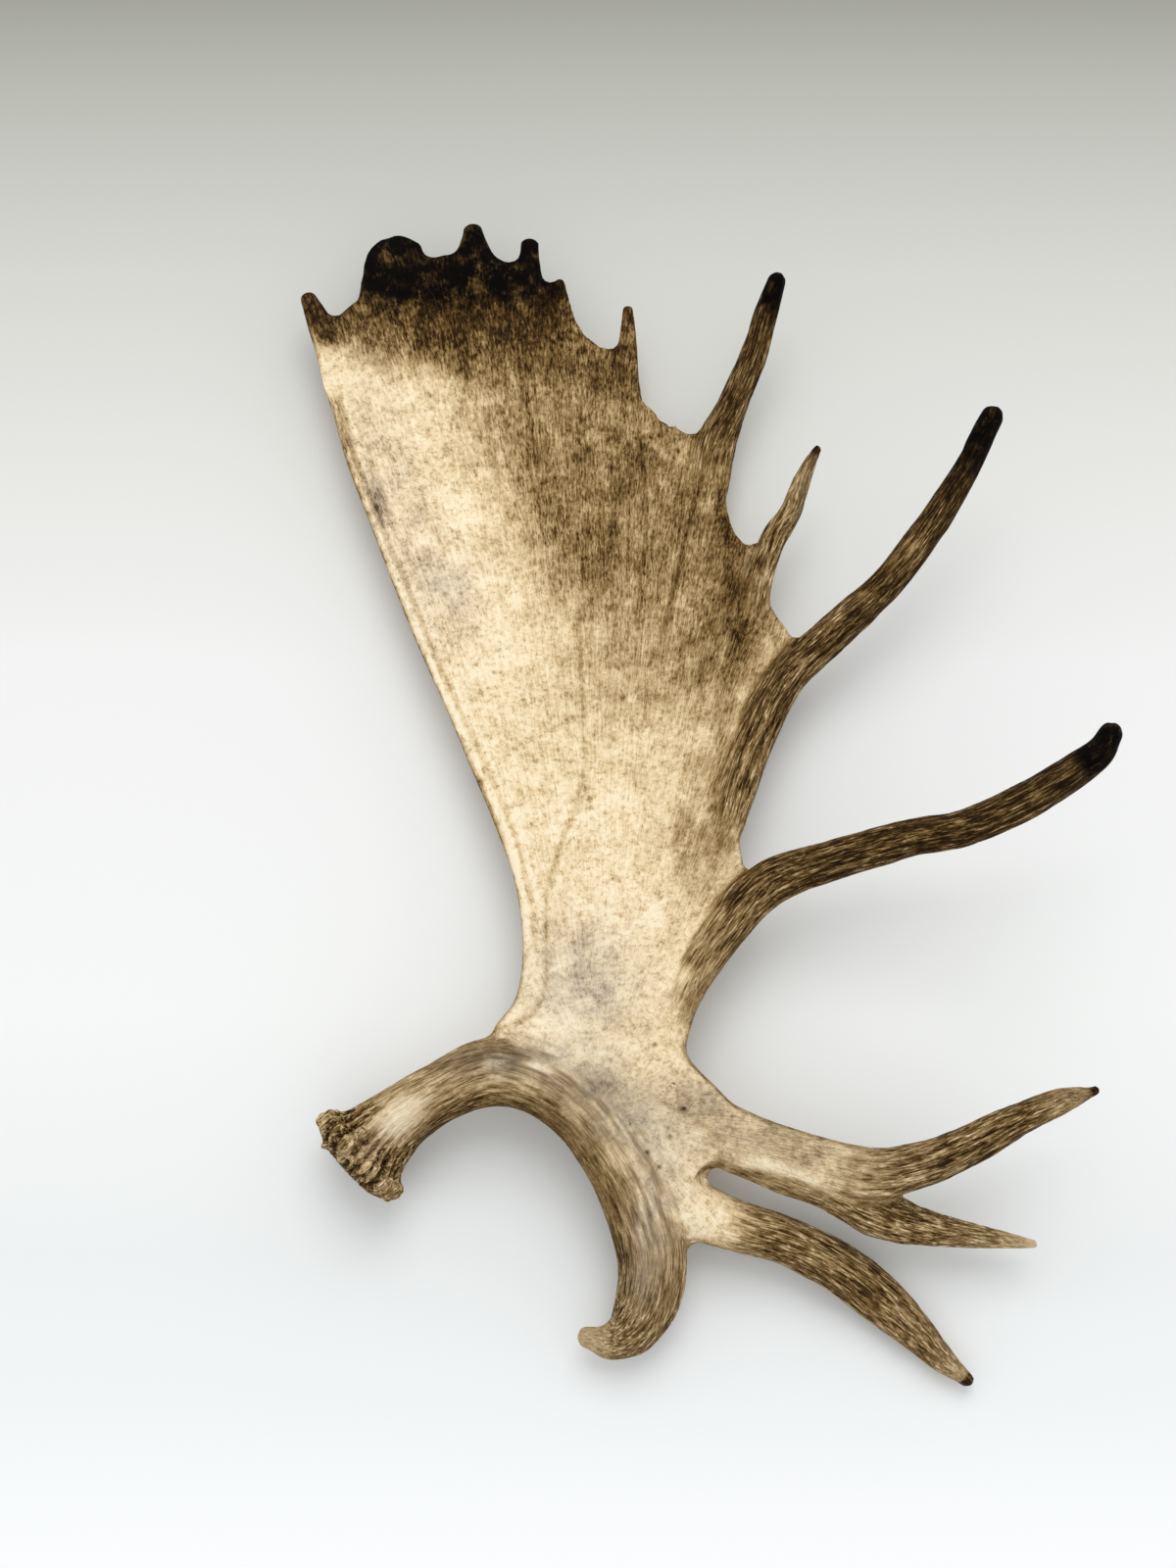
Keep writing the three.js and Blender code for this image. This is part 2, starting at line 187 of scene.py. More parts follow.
topPalmTine = {
    "piece": "palm_tine_4",
    "rootRows": [0.2, 1.4],
    "freeFrom": 3.2,
    "line": [
        [18, 202, 28, 15, 6], [29, 243, 34, 19, 8.5], [37, 282, 36, 18, 10], [55, 323, 42, 13, 11],
        [71.5, 362, 53, 11, 10.5], [80.5, 391, 66, 10.5, 10], [88, 411, 80, 8.2, 8.2],
    ],
    "shades": [
        [0.3, 0, 0.5, 0, 0], [1.4, 0.62, 0.9, 0, 0], [2.6, 0.86, 0.7, 0, 0], [4, 0.88, 0.5, 0.1, 0],
        [5, 0.95, 0.3, 0.55, 0], [5.5, 1, 0.1, 1, 0], [6, 1, 0, 1, 0],
    ],
}
armBrowTine = {
    "piece": "brow_tine_2",
    "rootRows": [0.6, 1.8],
    "freeFrom": 2.8,
    "line": [
        [-22, -340, 50, 28, 12], [12, -357, 44, 22.8, 17], [46, -369, 38, 19.5, 17], [84, -380, 32, 18, 16],
        [120, -398, 26, 19.5, 16.5], [155, -423, 16.3, 19, 17], [178, -443, 15.5, 15.5, 14.5],
        [201, -467, 14, 11, 10.5], [219, -482, 13, 5.4, 5.6],
    ],
    "shades": [
        [0.7, 0, 0.5, 0, 0], [1.4, 0.3, 0.8, 0, 0], [2.6, 0.68, 1, 0, 0], [5, 0.72, 0.9, 0, 0],
        [6.6, 0.64, 0.8, 0, 0.05], [7.6, 0.5, 0.7, 0, 0.3], [7.92, 0.6, 0.3, 0, 0.4], [8, 1, 0, 0.35, 0],
    ],
}
middleBrowTine = {
    "piece": "brow_tine_3",
    "rootRows": [-0.4, 0.7],
    "freeFrom": 3.6,
    "line": [
        [22, -310.5, 58, 12, 10], [80, -330, 55, 14.8, 14], [117, -343, 51, 16, 15], [155, -360, 47, 19, 15],
        [193, -371, 45, 13, 12.5], [234, -377, 42, 8.5, 8.5], [270, -382, 40, 3.8, 4],
    ],
    "shades": [
        [0, 0.5, 1, 0, 0], [1.2, 0.67, 1, 0, 0], [4, 0.65, 1, 0, 0], [5.2, 0.62, 0.9, 0, 0.15],
        [5.8, 0.4, 0.5, 0, 0.5], [6, 0.1, 0.3, 0, 1],
    ],
}
upperBrowTine = {
    "piece": "brow_tine_4",
    "rootRows": [0.6, 3],
    "freeFrom": 4.6,
    "line": [
        [-10, -281, 62, 26, 11], [49, -306, 62, 23, 17], [101, -321, 64, 20, 16], [142, -330, 68, 20, 16],
        [179, -325, 76, 17, 15], [215, -311, 90, 15.5, 14], [246, -295, 104, 13, 12.5],
        [281, -280, 118, 9.5, 9.5], [303, -273, 127, 4, 4.2],
    ],
    "shades": [
        [0.7, 0.32, 0.4, 0, 0], [2.4, 0.6, 0.6, 0, 0], [3.4, 0.64, 1, 0, 0], [4.6, 0.73, 0.9, 0, 0],
        [6.4, 0.74, 0.8, 0, 0], [7.5, 0.6, 0.7, 0, 0.25], [7.9, 0.7, 0.3, 0.1, 0.2], [8, 1, 0, 0.4, 0],
    ],
}
tines = [lowPalmTine, longPalmTine, smallPalmTine, topPalmTine, armBrowTine, middleBrowTine, upperBrowTine]

form = {
    "tubeSides": 36,
    "tubeRowsPerRow": 10,  # sections between two rows of a line
    "rowStep": 0.002,  # how far along the rows a direction is measured
    "tipAngles": [15, 30, 45, 58, 70, 80, 86],
    "tipReach": 2 * mm,  # how much longer a tip starts out, because joining the skin wears it
    "voxel": 2.4 * mm,
    "forkFillet": 5 * mm,
    "smoothPasses": 14,
    "finePasses": 3,
}


# The smooth line through rows of numbers, at row numbers that may be fractions.
def alongRows(rows, places):
    last = len(rows) - 1
    places = np.clip(places, 0, last)
    start = np.minimum(places.astype(int), last - 1)
    share = (places - start)[:, None]
    padded = np.vstack([2 * rows[0] - rows[1], rows, 2 * rows[-1] - rows[-2]])
    before, here, there, after = (padded[start + i] for i in range(4))

    def knot(a, b):
        return np.sum((b - a) ** 2, axis=1, keepdims=True) ** 0.25

    middle, first, final = knot(here, there), knot(before, here), knot(there, after)
    middle = np.where(middle < 1e-4, 1, middle)
    first = np.where(first < 1e-4, middle, first)
    final = np.where(final < 1e-4, middle, final)
    behind, along, ahead = (here - before) / first, (there - here) / middle, (after - there) / final
    leaving = (behind - (there - before) / (first + middle) + along) * middle
    arriving = (along - (after - here) / (middle + final) + ahead) * middle
    square = 3 * (there - here) - 2 * leaving - arriving
    cube = 2 * (here - there) + leaving + arriving
    return here + leaving * share + square * share**2 + cube * share**3


def unit(vectors):
    return vectors / np.linalg.norm(vectors, axis=-1, keepdims=True)


# Middles, half sizes and directions of a limb's sections at row numbers.
def sectionsOf(limb, places):
    rows = np.array(limb["line"], float)
    middles = alongRows(rows[:, :3], places) * mm
    sizes = alongRows(rows[:, 3:], places) * mm
    behind, ahead = (alongRows(rows[:, :3], places + step) for step in (-form["rowStep"], form["rowStep"]))
    along = unit(ahead - behind)
    lean = math.radians(limb.get("lean", 0))
    level = unit(np.cross(up, along))
    across = level * math.cos(lean) + np.cross(along, level) * math.sin(lean)
    return middles, sizes, along, across, np.cross(along, across)


# Rings of points for a limb, with a rounded tip.
def limbRings(limb):
    lastRow = len(limb["line"]) - 1
    places = np.linspace(0, lastRow, lastRow * form["tubeRowsPerRow"] + 1)
    middles, sizes, along, across, over = sectionsOf(limb, places)
    angles = np.linspace(0, 2 * math.pi, form["tubeSides"], endpoint=False)
    rings = ringsAt(middles, sizes, across, over, angles)
    tipRadius = sizes[-1].min()
    for tip in np.radians(form["tipAngles"]):
        middle = middles[-1:] + along[-1:] * (form["tipReach"] + tipRadius * math.sin(tip))
        tipRing = ringsAt(middle, sizes[-1:] * math.cos(tip), across[-1:], over[-1:], angles)
        rings = np.concatenate([rings, tipRing])
    return rings


def ringsAt(middles, sizes, across, over, angles):
    sideways = across[:, None] * (sizes[:, :1] * np.cos(angles))[..., None]
    upwards = over[:, None] * (sizes[:, 1:] * np.sin(angles))[..., None]
    return middles[:, None] + sideways + upwards


# The palm's three curves and its thickness at shares of its length.
def palmCurves(shares):
    places = shares * (len(palm["line"]) - 1)
    columns = [alongRows(np.array([row[i] for row in palm["line"]], float), places) * mm for i in range(3)]
    half = alongRows(np.array([[row[3], 0, 0] for row in palm["line"]], float), places)[:, 0] * mm
    return columns, half


# Points of the palm's sheet: s is -1 at its left edge, 0 at its middle and 1 at its right edge.
def palmSheet(left, middle, right, s):
    return left[:, None] * s * (s - 1) / 2 + middle[:, None] * (1 - s**2) + right[:, None] * s * (s + 1) / 2


def palmRings():
    taper = palm["endTaper"]
    ends = np.array(palm["endSections"]) * taper
    even = np.linspace(taper, 1 - taper, palm["rows"])
    shares = np.concatenate([ends, even, 1 - ends[::-1]])
    (left, middle, right), half = palmCurves(shares)
    fromEnd = np.minimum(1, np.minimum(shares, 1 - shares) / taper)
    half = half * np.sqrt(1 - (1 - fromEnd) ** 2)
    angles = np.linspace(0, 2 * math.pi, palm["sides"], endpoint=False)
    rings = palmSheet(left, middle, right, np.cos(angles)[None, :, None] * palm["edgeReach"])
    edge = np.sqrt(np.maximum(0, 1 - np.abs(np.cos(angles)) ** palm["edgePower"]))
    rings[..., 2] -= half[:, None] * edge * np.sign(np.sin(angles))
    return rings


# The coronet: a flared ring of knobs with the slightly domed seal where the antler left the skull.
burr = {
    "radius": 40,
    "knobs": 11,
    "knobHeight": 3,
    "knobDrift": 0.6,  # how unevenly they stand round the ring
    "sides": 132,
    # Distance along the beam, share of the radius, and how strong the knobs are.
    "rings": [
        [-16, 0.32, 0], [-13.5, 0.62, 0.1], [-9, 0.87, 0.6], [-3, 1, 1], [3, 0.96, 1], [9, 0.83, 0.6],
        [17, 0.73, 0.2], [30, 0.6, 0],
    ],
}


def burrRings():
    middles, _, along, across, over = sectionsOf(beam, np.array([0.0]))
    angles = np.linspace(0, 2 * math.pi, burr["sides"], endpoint=False)
    knobs = np.sin(burr["knobs"] * angles + burr["knobDrift"] * np.cos(angles))
    wave = knobs * burr["knobHeight"] / burr["radius"]
    rings = []
    for distance, share, strength in burr["rings"]:
        radius = burr["radius"] * mm * share * (1 + strength * wave)
        centre = middles[0] + along[0] * distance * mm
        sideways = across[0] * (radius * np.cos(angles))[:, None]
        upwards = over[0] * (radius * np.sin(angles))[:, None]
        rings.append(centre + sideways + upwards)
    return np.array(rings)


# Closed tubes of rings of points, all in one mesh.
def tubesMesh(name, tubes):
    points, faces, used = [], [], 0
    for rings in tubes:
        count, sides = rings.shape[:2]
        index = np.arange(count * sides).reshape(count, sides) + used
        beside = np.roll(index, -1, axis=1)
        faces += np.stack([index[:-1], beside[:-1], beside[1:], index[1:]], axis=-1).reshape(-1, 4).tolist()
        faces += [index[0][::-1].tolist(), index[-1].tolist()]
        points.append(rings.reshape(-1, 3))
        used += count * sides
    mesh = bpy.data.meshes.new(name)
    mesh.from_pydata(np.concatenate(points).tolist(), [], faces)
    return mesh


def placed(name, data):
    made = bpy.data.objects.new(name, data)
    bpy.context.scene.collection.objects.link(made)
    return made


# Joins all the tubes into one skin and rounds the forks: the skin swells, is joined again, and shrinks back.
def grownMesh():
    tubes = [palmRings(), burrRings()] + [limbRings(limb) for limb in [beam, *palmPoints, *tines]]
    grown = placed("grownForm", tubesMesh("grownForm", tubes))
    for swell in (form["forkFillet"], -form["forkFillet"]):
        join = grown.modifiers.new("join", "REMESH")
        join.mode, join.voxel_size, join.adaptivity = "VOXEL", form["voxel"], 0
        offset = grown.modifiers.new("offset", "DISPLACE")
        offset.strength, offset.mid_level = swell, 0
    mesh = bpy.data.meshes.new_from_object(grown.evaluated_get(bpy.context.evaluated_depsgraph_get()))
    bpy.data.objects.remove(grown)
    return mesh


# One value of every item in a mesh's list, as an array.
def valuesOf(items, key, width=1, kind=float):
    values = np.empty(len(items) * width, kind)
    items.foreach_get(key, values)
    return values.reshape(-1, width) if width > 1 else values


def pointsAndEdges(mesh):
    return valuesOf(mesh.vertices, "co", 3), valuesOf(mesh.edges, "vertices", 2, int)


# Evens out a skin without shrinking it: each pass moves a point to its neighbours and a bit further back.
def smoothed(points, edges, passes, weight=1.0, forward=0.5, back=-0.53):
    ends = np.concatenate([edges, edges[:, ::-1]])
    count = np.maximum(np.bincount(ends[:, 0], minlength=len(points)), 1)
    for _ in range(passes):
        for step in (forward, back):
            sums = [np.bincount(ends[:, 0], points[ends[:, 1], i], len(points)) for i in range(3)]
            share = np.reshape(step * weight, (-1, 1) if np.ndim(weight) else ())
            points = points + (np.stack(sums, 1) / count[:, None] - points) * share
    return points


grownSkin = grownMesh()
points, edges = pointsAndEdges(grownSkin)
points = smoothed(points, edges, form["smoothPasses"])
grownSkin.vertices.foreach_set("co", points.ravel())
print("grown form:", len(points), "points")

partings = {
    "waistPoint": [0, -195, 0],
    "waistDirection": [0, 1, 0],
    "browPoint": [-34, -288, 60],
    "browDirection": [0.67, -0.74, 0],
    "browReach": 110,
    "near": 5,  # faces this close to a parting are cut by it
    "limbReach": 2.1,  # in half widths of the limb
}
homes = {"palm": [-80, 60, 30], "beam": [-186, -266, 74], "brow_palm": [-10, -330, 65]}


# Every parting as a point, a direction, and how far round the point it cuts.
def partingPlanes():
    waist, brow = np.array(partings["waistPoint"]) * mm, np.array(partings["browPoint"]) * mm
    planes = [
        (waist, np.array(partings["waistDirection"], float), 1),
        (brow, unit(np.array(partings["browDirection"])), partings["browReach"] * mm),
    ]
    for limb, place in [(beam, beam["hookFreeFrom"])] + [(tine, tine["freeFrom"]) for tine in tines]:
        middles, sizes, along, _, _ = sectionsOf(limb, np.array([place]))
        planes.append((middles[0], along[0], sizes[0].max() * partings["limbReach"]))
    return planes


# Cuts the skin along every parting, makes all but the palm finer, and numbers the faces of each piece.
def partedMesh(mesh):
    work = bmesh.new()
    work.from_mesh(mesh)
    for centre, direction, reach in partingPlanes():
        centre, direction = Vector(centre), Vector(direction)
        close = []
        for face in work.faces:
            away = face.verts[0].co - centre
            if abs(away.dot(direction)) < partings["near"] * mm and away.length < reach:
                close.append(face)
        sides = {edge for face in close for edge in face.edges}
        corners = {corner for face in close for corner in face.verts}
        around = set(close) | sides | corners
        cut = bmesh.ops.bisect_plane(work, geom=list(around), dist=1e-6, plane_co=centre, plane_no=direction)
        for item in cut["geom_cut"]:
            if isinstance(item, bmesh.types.BMEdge):
                item.seam = True
    pieceOf = numberedFaces(work)
    work.faces.ensure_lookup_table()
    palmNumber = pieceNames.index("palm")
    finer = {edge for face in work.faces if pieceOf[face.index] != palmNumber for edge in face.edges}
    layer = work.faces.layers.int.new("piece")
    for face in work.faces:
        face[layer] = pieceOf[face.index]
    bmesh.ops.subdivide_edges(work, edges=list(finer), cuts=1, use_grid_fill=True)
    parted = bpy.data.meshes.new("partedSkin")
    work.to_mesh(parted)
    work.free()
    return parted


pieceNames = ["palm", "beam", "brow_palm", "brow_tine_1"] + [tine["piece"] for tine in tines]


# Spreads from each piece's home point over the faces, and stops at the seams.
def numberedFaces(work):
    work.faces.ensure_lookup_table()
    work.verts.ensure_lookup_table()
    work.faces.index_update()
    places = np.array([vertex.co for vertex in work.verts])
    tips = {limb["piece"]: limb["line"][-1][:3] for limb in tines}
    tips["brow_tine_1"] = beam["line"][-1][:3]
    pieceOf = np.full(len(work.faces), -1)
    for number, name in enumerate(pieceNames):
        home = np.array({**homes, **tips}[name]) * mm
        nearest = int(np.argmin(np.sum((places - home) ** 2, axis=1)))
        front = [work.verts[nearest].link_faces[0]]
        pieceOf[front[0].index] = number
        while front:
            face = front.pop()
            for edge in face.edges:
                if edge.seam:
                    continue
                for other in edge.link_faces:
                    if pieceOf[other.index] < 0:
                        pieceOf[other.index] = number
                        front.append(other)
    return pieceOf


skin = partedMesh(grownSkin)
facePiece = valuesOf(skin.attributes["piece"].data, "value", kind=int)
for number, name in enumerate(pieceNames):
    print(name, "faces:", int(np.sum(facePiece == number)))
print("loose faces:", int(np.sum(facePiece < 0)))


def ease(values, low, high):
    share = np.clip((values - low) / (high - low), 0, 1)
    return share * share * (3 - 2 * share)


# Repeatable smooth noise from -1 to 1 for arrays of points.
def softNoise(places, seed):
    table = np.random.default_rng(seed).uniform(-1, 1, 4096)
    cell = np.floor(places).astype(int)
    part = places - cell
    part = part * part * part * (part * (part * 6 - 15) + 10)
    total = np.zeros(len(places))
    for corner in np.ndindex(2, 2, 2):
        at = cell + corner
        index = (at[:, 0] * 73856093 ^ at[:, 1] * 19349663 ^ at[:, 2] * 83492791) & 4095
        total += table[index] * np.prod(np.where(np.array(corner), part, 1 - part), axis=1)
    return total


points, edges = pointsAndEdges(skin)
loopEnds = np.append(valuesOf(skin.polygons, "loop_start", kind=int), len(skin.loops))
cornerPoint = valuesOf(skin.loops, "vertex_index", kind=int)
cornerFace = np.repeat(np.arange(len(skin.polygons)), np.diff(loopEnds))
isFine = np.zeros(len(points))
np.maximum.at(isFine, cornerPoint, (facePiece[cornerFace] != pieceNames.index("palm")).astype(float))
points = smoothed(points, edges, form["finePasses"], weight=isFine)

limbs = [beam, *tines]
claim = {
    "samplesPerRow": 10,
    "margin": 30 * mm,
    "rootPenalty": 1.5,  # how much further off a tine's root counts where it hasn't grown out of the palm yet
    "full": [0.75, 1.15],  # distance in half sizes up to which a point is all limb, inside a palm and free
    "none": [1.36, 1.9],  # and from which it's all palm
    "raggedSizes": [16, 2.6, 2.6],
    "raggedRows": 0.7,
    "raggedReach": 0.3,
    "rivalry": 0.4,  # how much nearer than the next limb it has to be for its own pattern
    "sharpness": 6,  # how sharply the shades of two limbs part where they meet
    "softness": 0.05,  # keeps the weight finite on a limb's middle
    "apart": 0.7,  # how far along the patterns of two limbs are shifted, in metres
}
farAway = 99.0
nearestQ = np.full(len(points), farAway)
secondQ = np.full(len(points), farAway)
limbFlow = np.zeros((len(points), 3))
limbShades = np.zeros((len(points), 4))
limbWeight = np.zeros(len(points))
limbStain = np.zeros(len(points))  # like the share of limb, but without a gap between two limbs
limbRoot = np.zeros(len(points))  # what the nearest limb claims of a point
limbOf = np.full(len(points), -1)


# Measures every point near a limb in that limb's own directions, and gives it to the nearest limb.
def claimPoints(number, limb):
    lastRow = len(limb["line"]) - 1
    places = np.linspace(0, lastRow, lastRow * claim["samplesPerRow"] + 1)
    middles, sizes, along, across, over = sectionsOf(limb, places)
    lengths = np.concatenate([[0], np.cumsum(np.linalg.norm(np.diff(middles, axis=0), axis=1))])
    low, high = middles.min(0) - claim["margin"], middles.max(0) + claim["margin"]
    chosen = np.nonzero(np.all((points > low) & (points < high), axis=1))[0]
    spots = points[chosen]
    best = np.argmin((middles**2).sum(1) - 2 * spots @ middles.T, axis=1)
    offset = spots - middles[best]
    step = np.einsum("ij,ij->i", offset, along[best])
    u = np.einsum("ij,ij->i", offset, across[best])
    v = np.einsum("ij,ij->i", offset, over[best])
    row = places[best] + np.clip(step / np.gradient(lengths)[best], -1, 1) / claim["samplesPerRow"]
    flow = np.stack([lengths[best] + step + number * claim["apart"], u, v], 1)
    ragged = softNoise(flow / mm / claim["raggedSizes"], 41)
    freeRows = np.array(limb.get("freeRows") or [[limb["rootRows"][1], 0], [limb["freeFrom"], 1]])
    free = np.interp(row, freeRows[:, 0], freeRows[:, 1])
    rooted = np.ones(len(row))
    if "rootRows" in limb:
        rooted = ease(row + ragged * claim["raggedRows"], *limb["rootRows"])
    before = np.where((best == 0) & (step < 0), step / sizes[0].mean(), 0)
    rootWidth = limb.get("rootWidth", 1)
    inward = np.where(u > 0, u / (rootWidth + (1 - rootWidth) * free), u)
    hidden = (1 - rooted) * claim["rootPenalty"]
    q = np.sqrt((inward / sizes[best, 0]) ** 2 + (v / sizes[best, 1]) ** 2 + before**2) + hidden
    shadeRows = np.array(limb["shades"])
    shades = np.stack([np.interp(row, shadeRows[:, 0], shadeRows[:, i]) for i in range(1, 5)], axis=1)
    closer = q < nearestQ[chosen]
    secondQ[chosen] = np.where(closer, nearestQ[chosen], np.minimum(secondQ[chosen], q))
    mine = chosen[closer]
    full, none = (inPalm + (alone - inPalm) * free for inPalm, alone in (claim["full"], claim["none"]))
    stain = (1 - ease(q + ragged * claim["raggedReach"] * (1 - free), full, none)) * rooted
    nearestQ[mine], limbRoot[mine], limbOf[mine] = q[closer], stain[closer], number
    limbFlow[mine] = flow[closer]
    weight = stain / (q ** claim["sharpness"] + claim["softness"])
    limbShades[chosen] += shades * weight[:, None]
    limbWeight[chosen] += weight
    limbStain[chosen] = np.maximum(limbStain[chosen], stain)


for number, limb in enumerate(limbs):
    claimPoints(number, limb)
limbShare = limbRoot * ease(secondQ - nearestQ, 0, claim["rivalry"])
limbShades /= np.maximum(limbWeight, 1e-6)[:, None]
print("limbs claimed their points")

palmGrid = {
    "along": 221,
    "across": 41,
    "spread": 130 * mm,
    "beyond": 1.5,  # how far past its edges the sheet is carried on
    "mostAlong": 25,  # and how many steps past its grid
    "mostAcross": 12,
}


# Each point's place in the palm's sheet: length from the brow notch, share across from -1 to 1, height
# over it, and half the sheet's width there.
def palmPlaces(spots):
    shares = np.linspace(0, 1, palmGrid["along"])
    s = np.linspace(-1, 1, palmGrid["across"])[None, :, None]
    (left, middle, right), _ = palmCurves(shares)
    grid = palmSheet(left, middle, right, s)
    lengths = np.concatenate([[0], np.cumsum(np.linalg.norm(np.diff(middle, axis=0), axis=1))])
    tree = KDTree(grid.shape[0] * grid.shape[1])
    for index, place in enumerate(grid.reshape(-1, 3)):
        tree.insert((place[0], place[1], 0), index)
    tree.balance()
    found = np.array([tree.find((x, y, 0))[1] for x, y in spots[:, :2].tolist()])
    i, j = np.divmod(found, palmGrid["across"])
    alongStep = np.gradient(grid, axis=0)[i, j]
    acrossStep = np.gradient(grid, axis=1)[i, j]
    offset = spots - grid[i, j]
    area = alongStep[:, 0] * acrossStep[:, 1] - alongStep[:, 1] * acrossStep[:, 0]
    a = (offset[:, 0] * acrossStep[:, 1] - offset[:, 1] * acrossStep[:, 0]) / area
    b = (alongStep[:, 0] * offset[:, 1] - alongStep[:, 1] * offset[:, 0]) / area
    a = np.clip(a, -palmGrid["mostAlong"], palmGrid["mostAlong"])
    b = np.clip(b, -palmGrid["mostAcross"], palmGrid["mostAcross"])
    share = s[0, j, 0] + b * 2 / (palmGrid["across"] - 1)
    length = lengths[i] + a * np.gradient(lengths)[i]
    height = offset[:, 2] - a * alongStep[:, 2] - b * acrossStep[:, 2]
    halfWidth = np.linalg.norm(right - left, axis=1)[i] / 2
    return length, np.clip(share, -palmGrid["beyond"], palmGrid["beyond"]), height, halfWidth


palmLength, palmShare, palmHeight, palmHalfWidth = palmPlaces(points)
palmFlow = np.stack([palmLength, palmShare * palmGrid["spread"], palmHeight], 1)
fromLeft = (palmShare + 1) * palmHalfWidth
skin.vertices.foreach_set("co", points.ravel())
skin.update()
normals = valuesOf(skin.vertex_normals, "vector", 3)
facing = {"top": [0, 0.5], "side": [0.25, 0.8]}  # how much the skin faces up where these come in and fade out
onTop = ease(normals[:, 2], *facing["top"])
onSide = 1 - ease(np.abs(normals[:, 2]), *facing["side"])
print("palm laid out")

# The ridges that run along the beam and the tines. Sizes are along a limb, across it and over it.
limbRelief = {
    "ridgeHeight": 0.6,
    "ridgeSize": [30, 3, 3],
    "fineHeight": 0.3,
    "fineSize": [15, 2.2, 2.2],
    "fineShare": 0.4,  # how much the fine ones count in what the colours follow
    "contrast": 1.6,
    "waver": 2.4,  # how far the ridges wander sideways
    "waverSize": [22, 9, 9],
    "swell": 0.6,  # slow unevenness along a tine
    "swellSize": [38, 14, 14],
    "beamShare": 0.6,
    "ivoryCalm": 0.75,  # how much worn tips are smoother, and black ones
    "sootCalm": 0.5,
}
palmRelief = {
    "waveHeight": 0.35,
    "waveSize": [34, 17, 20],
    "ribs": [[0.6, 4], [-0.45, 10], [0.3, 15]],  # height, and distance from the left edge
    "ribWidth": 2.4,
    "ribWaver": 1.2,
    "waverSize": [60, 1000, 1000],
    "ribStart": [-170, -130],  # where in Y the ribs come in
    "ribEnd": [290, 350],
    "lineMargin": 12,  # how far from its points a line still counts
}
# Lines raised or sunk in the upper side: rise, half width, then their points in X and Y.
surfaceLines = [
    (-0.5, 1.7, [(-104, -177), (-105, -141), (-105, -112), (-98, -82), (-88, -56), (-80, -29), (-74, -2),
        (-76, 60), (-79, 105)]),
    (-0.3, 1.6, [(-99, -104), (-91, -63), (-74, -25), (-67, 10)]),
    (-0.6, 2.6, [(-104, -177), (-106, -195), (-113, -209), (-130, -216), (-147, -223)]),
    (0.35, 2.2, [(-101, -175), (-67, -156), (-39, -142), (-21, -123), (4, -109)]),
    (0.35, 2.2, [(-10, -98), (8, -65), (19, -46), (34, -24), (49, 10), (57, 36)]),
    (0.25, 2, [(7, -98), (13, -69), (19, -43)]),
    (0.25, 2, [(-3, -80), (-24, -91), (-39, -105)]),
    (0.3, 2, [(32, -106), (37, -80), (39, -66)]),
    (-0.35, 2, [(-79, 105), (-79, 137), (-75, 171), (-73, 213)]),
    (-0.4, 2.2, [(-31, 126), (-25, 182), (-22, 232), (-26, 291)]),
    (-0.45, 2.4, [(-20, 87), (-5, 133), (7, 181), (19, 230), (31, 271)]),
    (-0.3, 2, [(-1, 141), (11, 205)]),
    (0.5, 3.5, [(-22, 299), (-3, 272), (19, 263)]),
    (0.5, 3.4, [(-221, -277), (-204, -269), (-174, -252), (-142, -246), (-112, -249), (-83, -262),
        (-60, -278), (-42, -300)]),
    (-0.4, 3, [(-200, -276), (-174, -261), (-142, -254), (-112, -257), (-86, -271), (-66, -290)]),
    (0.7, 4.5, [(35, -326), (61, -323), (88, -330), (108, -343), (131, -356), (155, -369)]),
    (0.8, 5, [(164, -337), (160, -345)]),
    (-0.4, 2.4, [(-14, -277), (12, -290), (32, -306)]),
    (0.4, 2.6, [(6, -308), (13, -309), (15, -303), (8, -301), (3, -303)]),
]

burrRelief = {
    "pearls": 170,
    "pearlHeight": [1.2, 4.2],
    "pearlWidth": [1.6, 3.4],
    "pearlRing": [-1, 4.5],  # middle and spread along the shaft
    "pearlFall": [0.012, 1.3],  # how the ring of pearls narrows away from the rim
    "pearlMark": 0.7,
    "flutes": 21,
    "fluteHeight": 1.9,
    "fluteDrift": [2.2, 1.2],  # how unevenly they stand round the shaft
    "fluteTwist": 0.05,
    "fluteMark": 0.9,
    "fluteCore": [14, 28],  # they come in between these distances from the middle
    "reach": [6, 52],  # and fade out between these up the shaft
    "near": [62, 90],  # nothing further up the shaft or from the middle takes part
    "rim": 9,  # how far up the shaft the rim's own lobes go
    "rimCore": [24, 38],
    "lobes": 5,
    "lobeLength": 30,
    "lobeHeight": 3.2,
    "markLevel": 0.35,  # what is neither pearl nor furrow
    "calm": 0.6,  # how much it covers the beam's own ridges
}


# How far each point is from a line of points, seen from above.
def lineDistance(spots, line):
    closest = np.full(len(spots), 1e9)
    for a, b in zip(line[:-1], line[1:]):
        span = b - a
        share = np.clip(((spots - a) @ span) / (span @ span), 0, 1)
        closest = np.minimum(closest, np.linalg.norm(spots - a - share[:, None] * span, axis=1))
    return closest


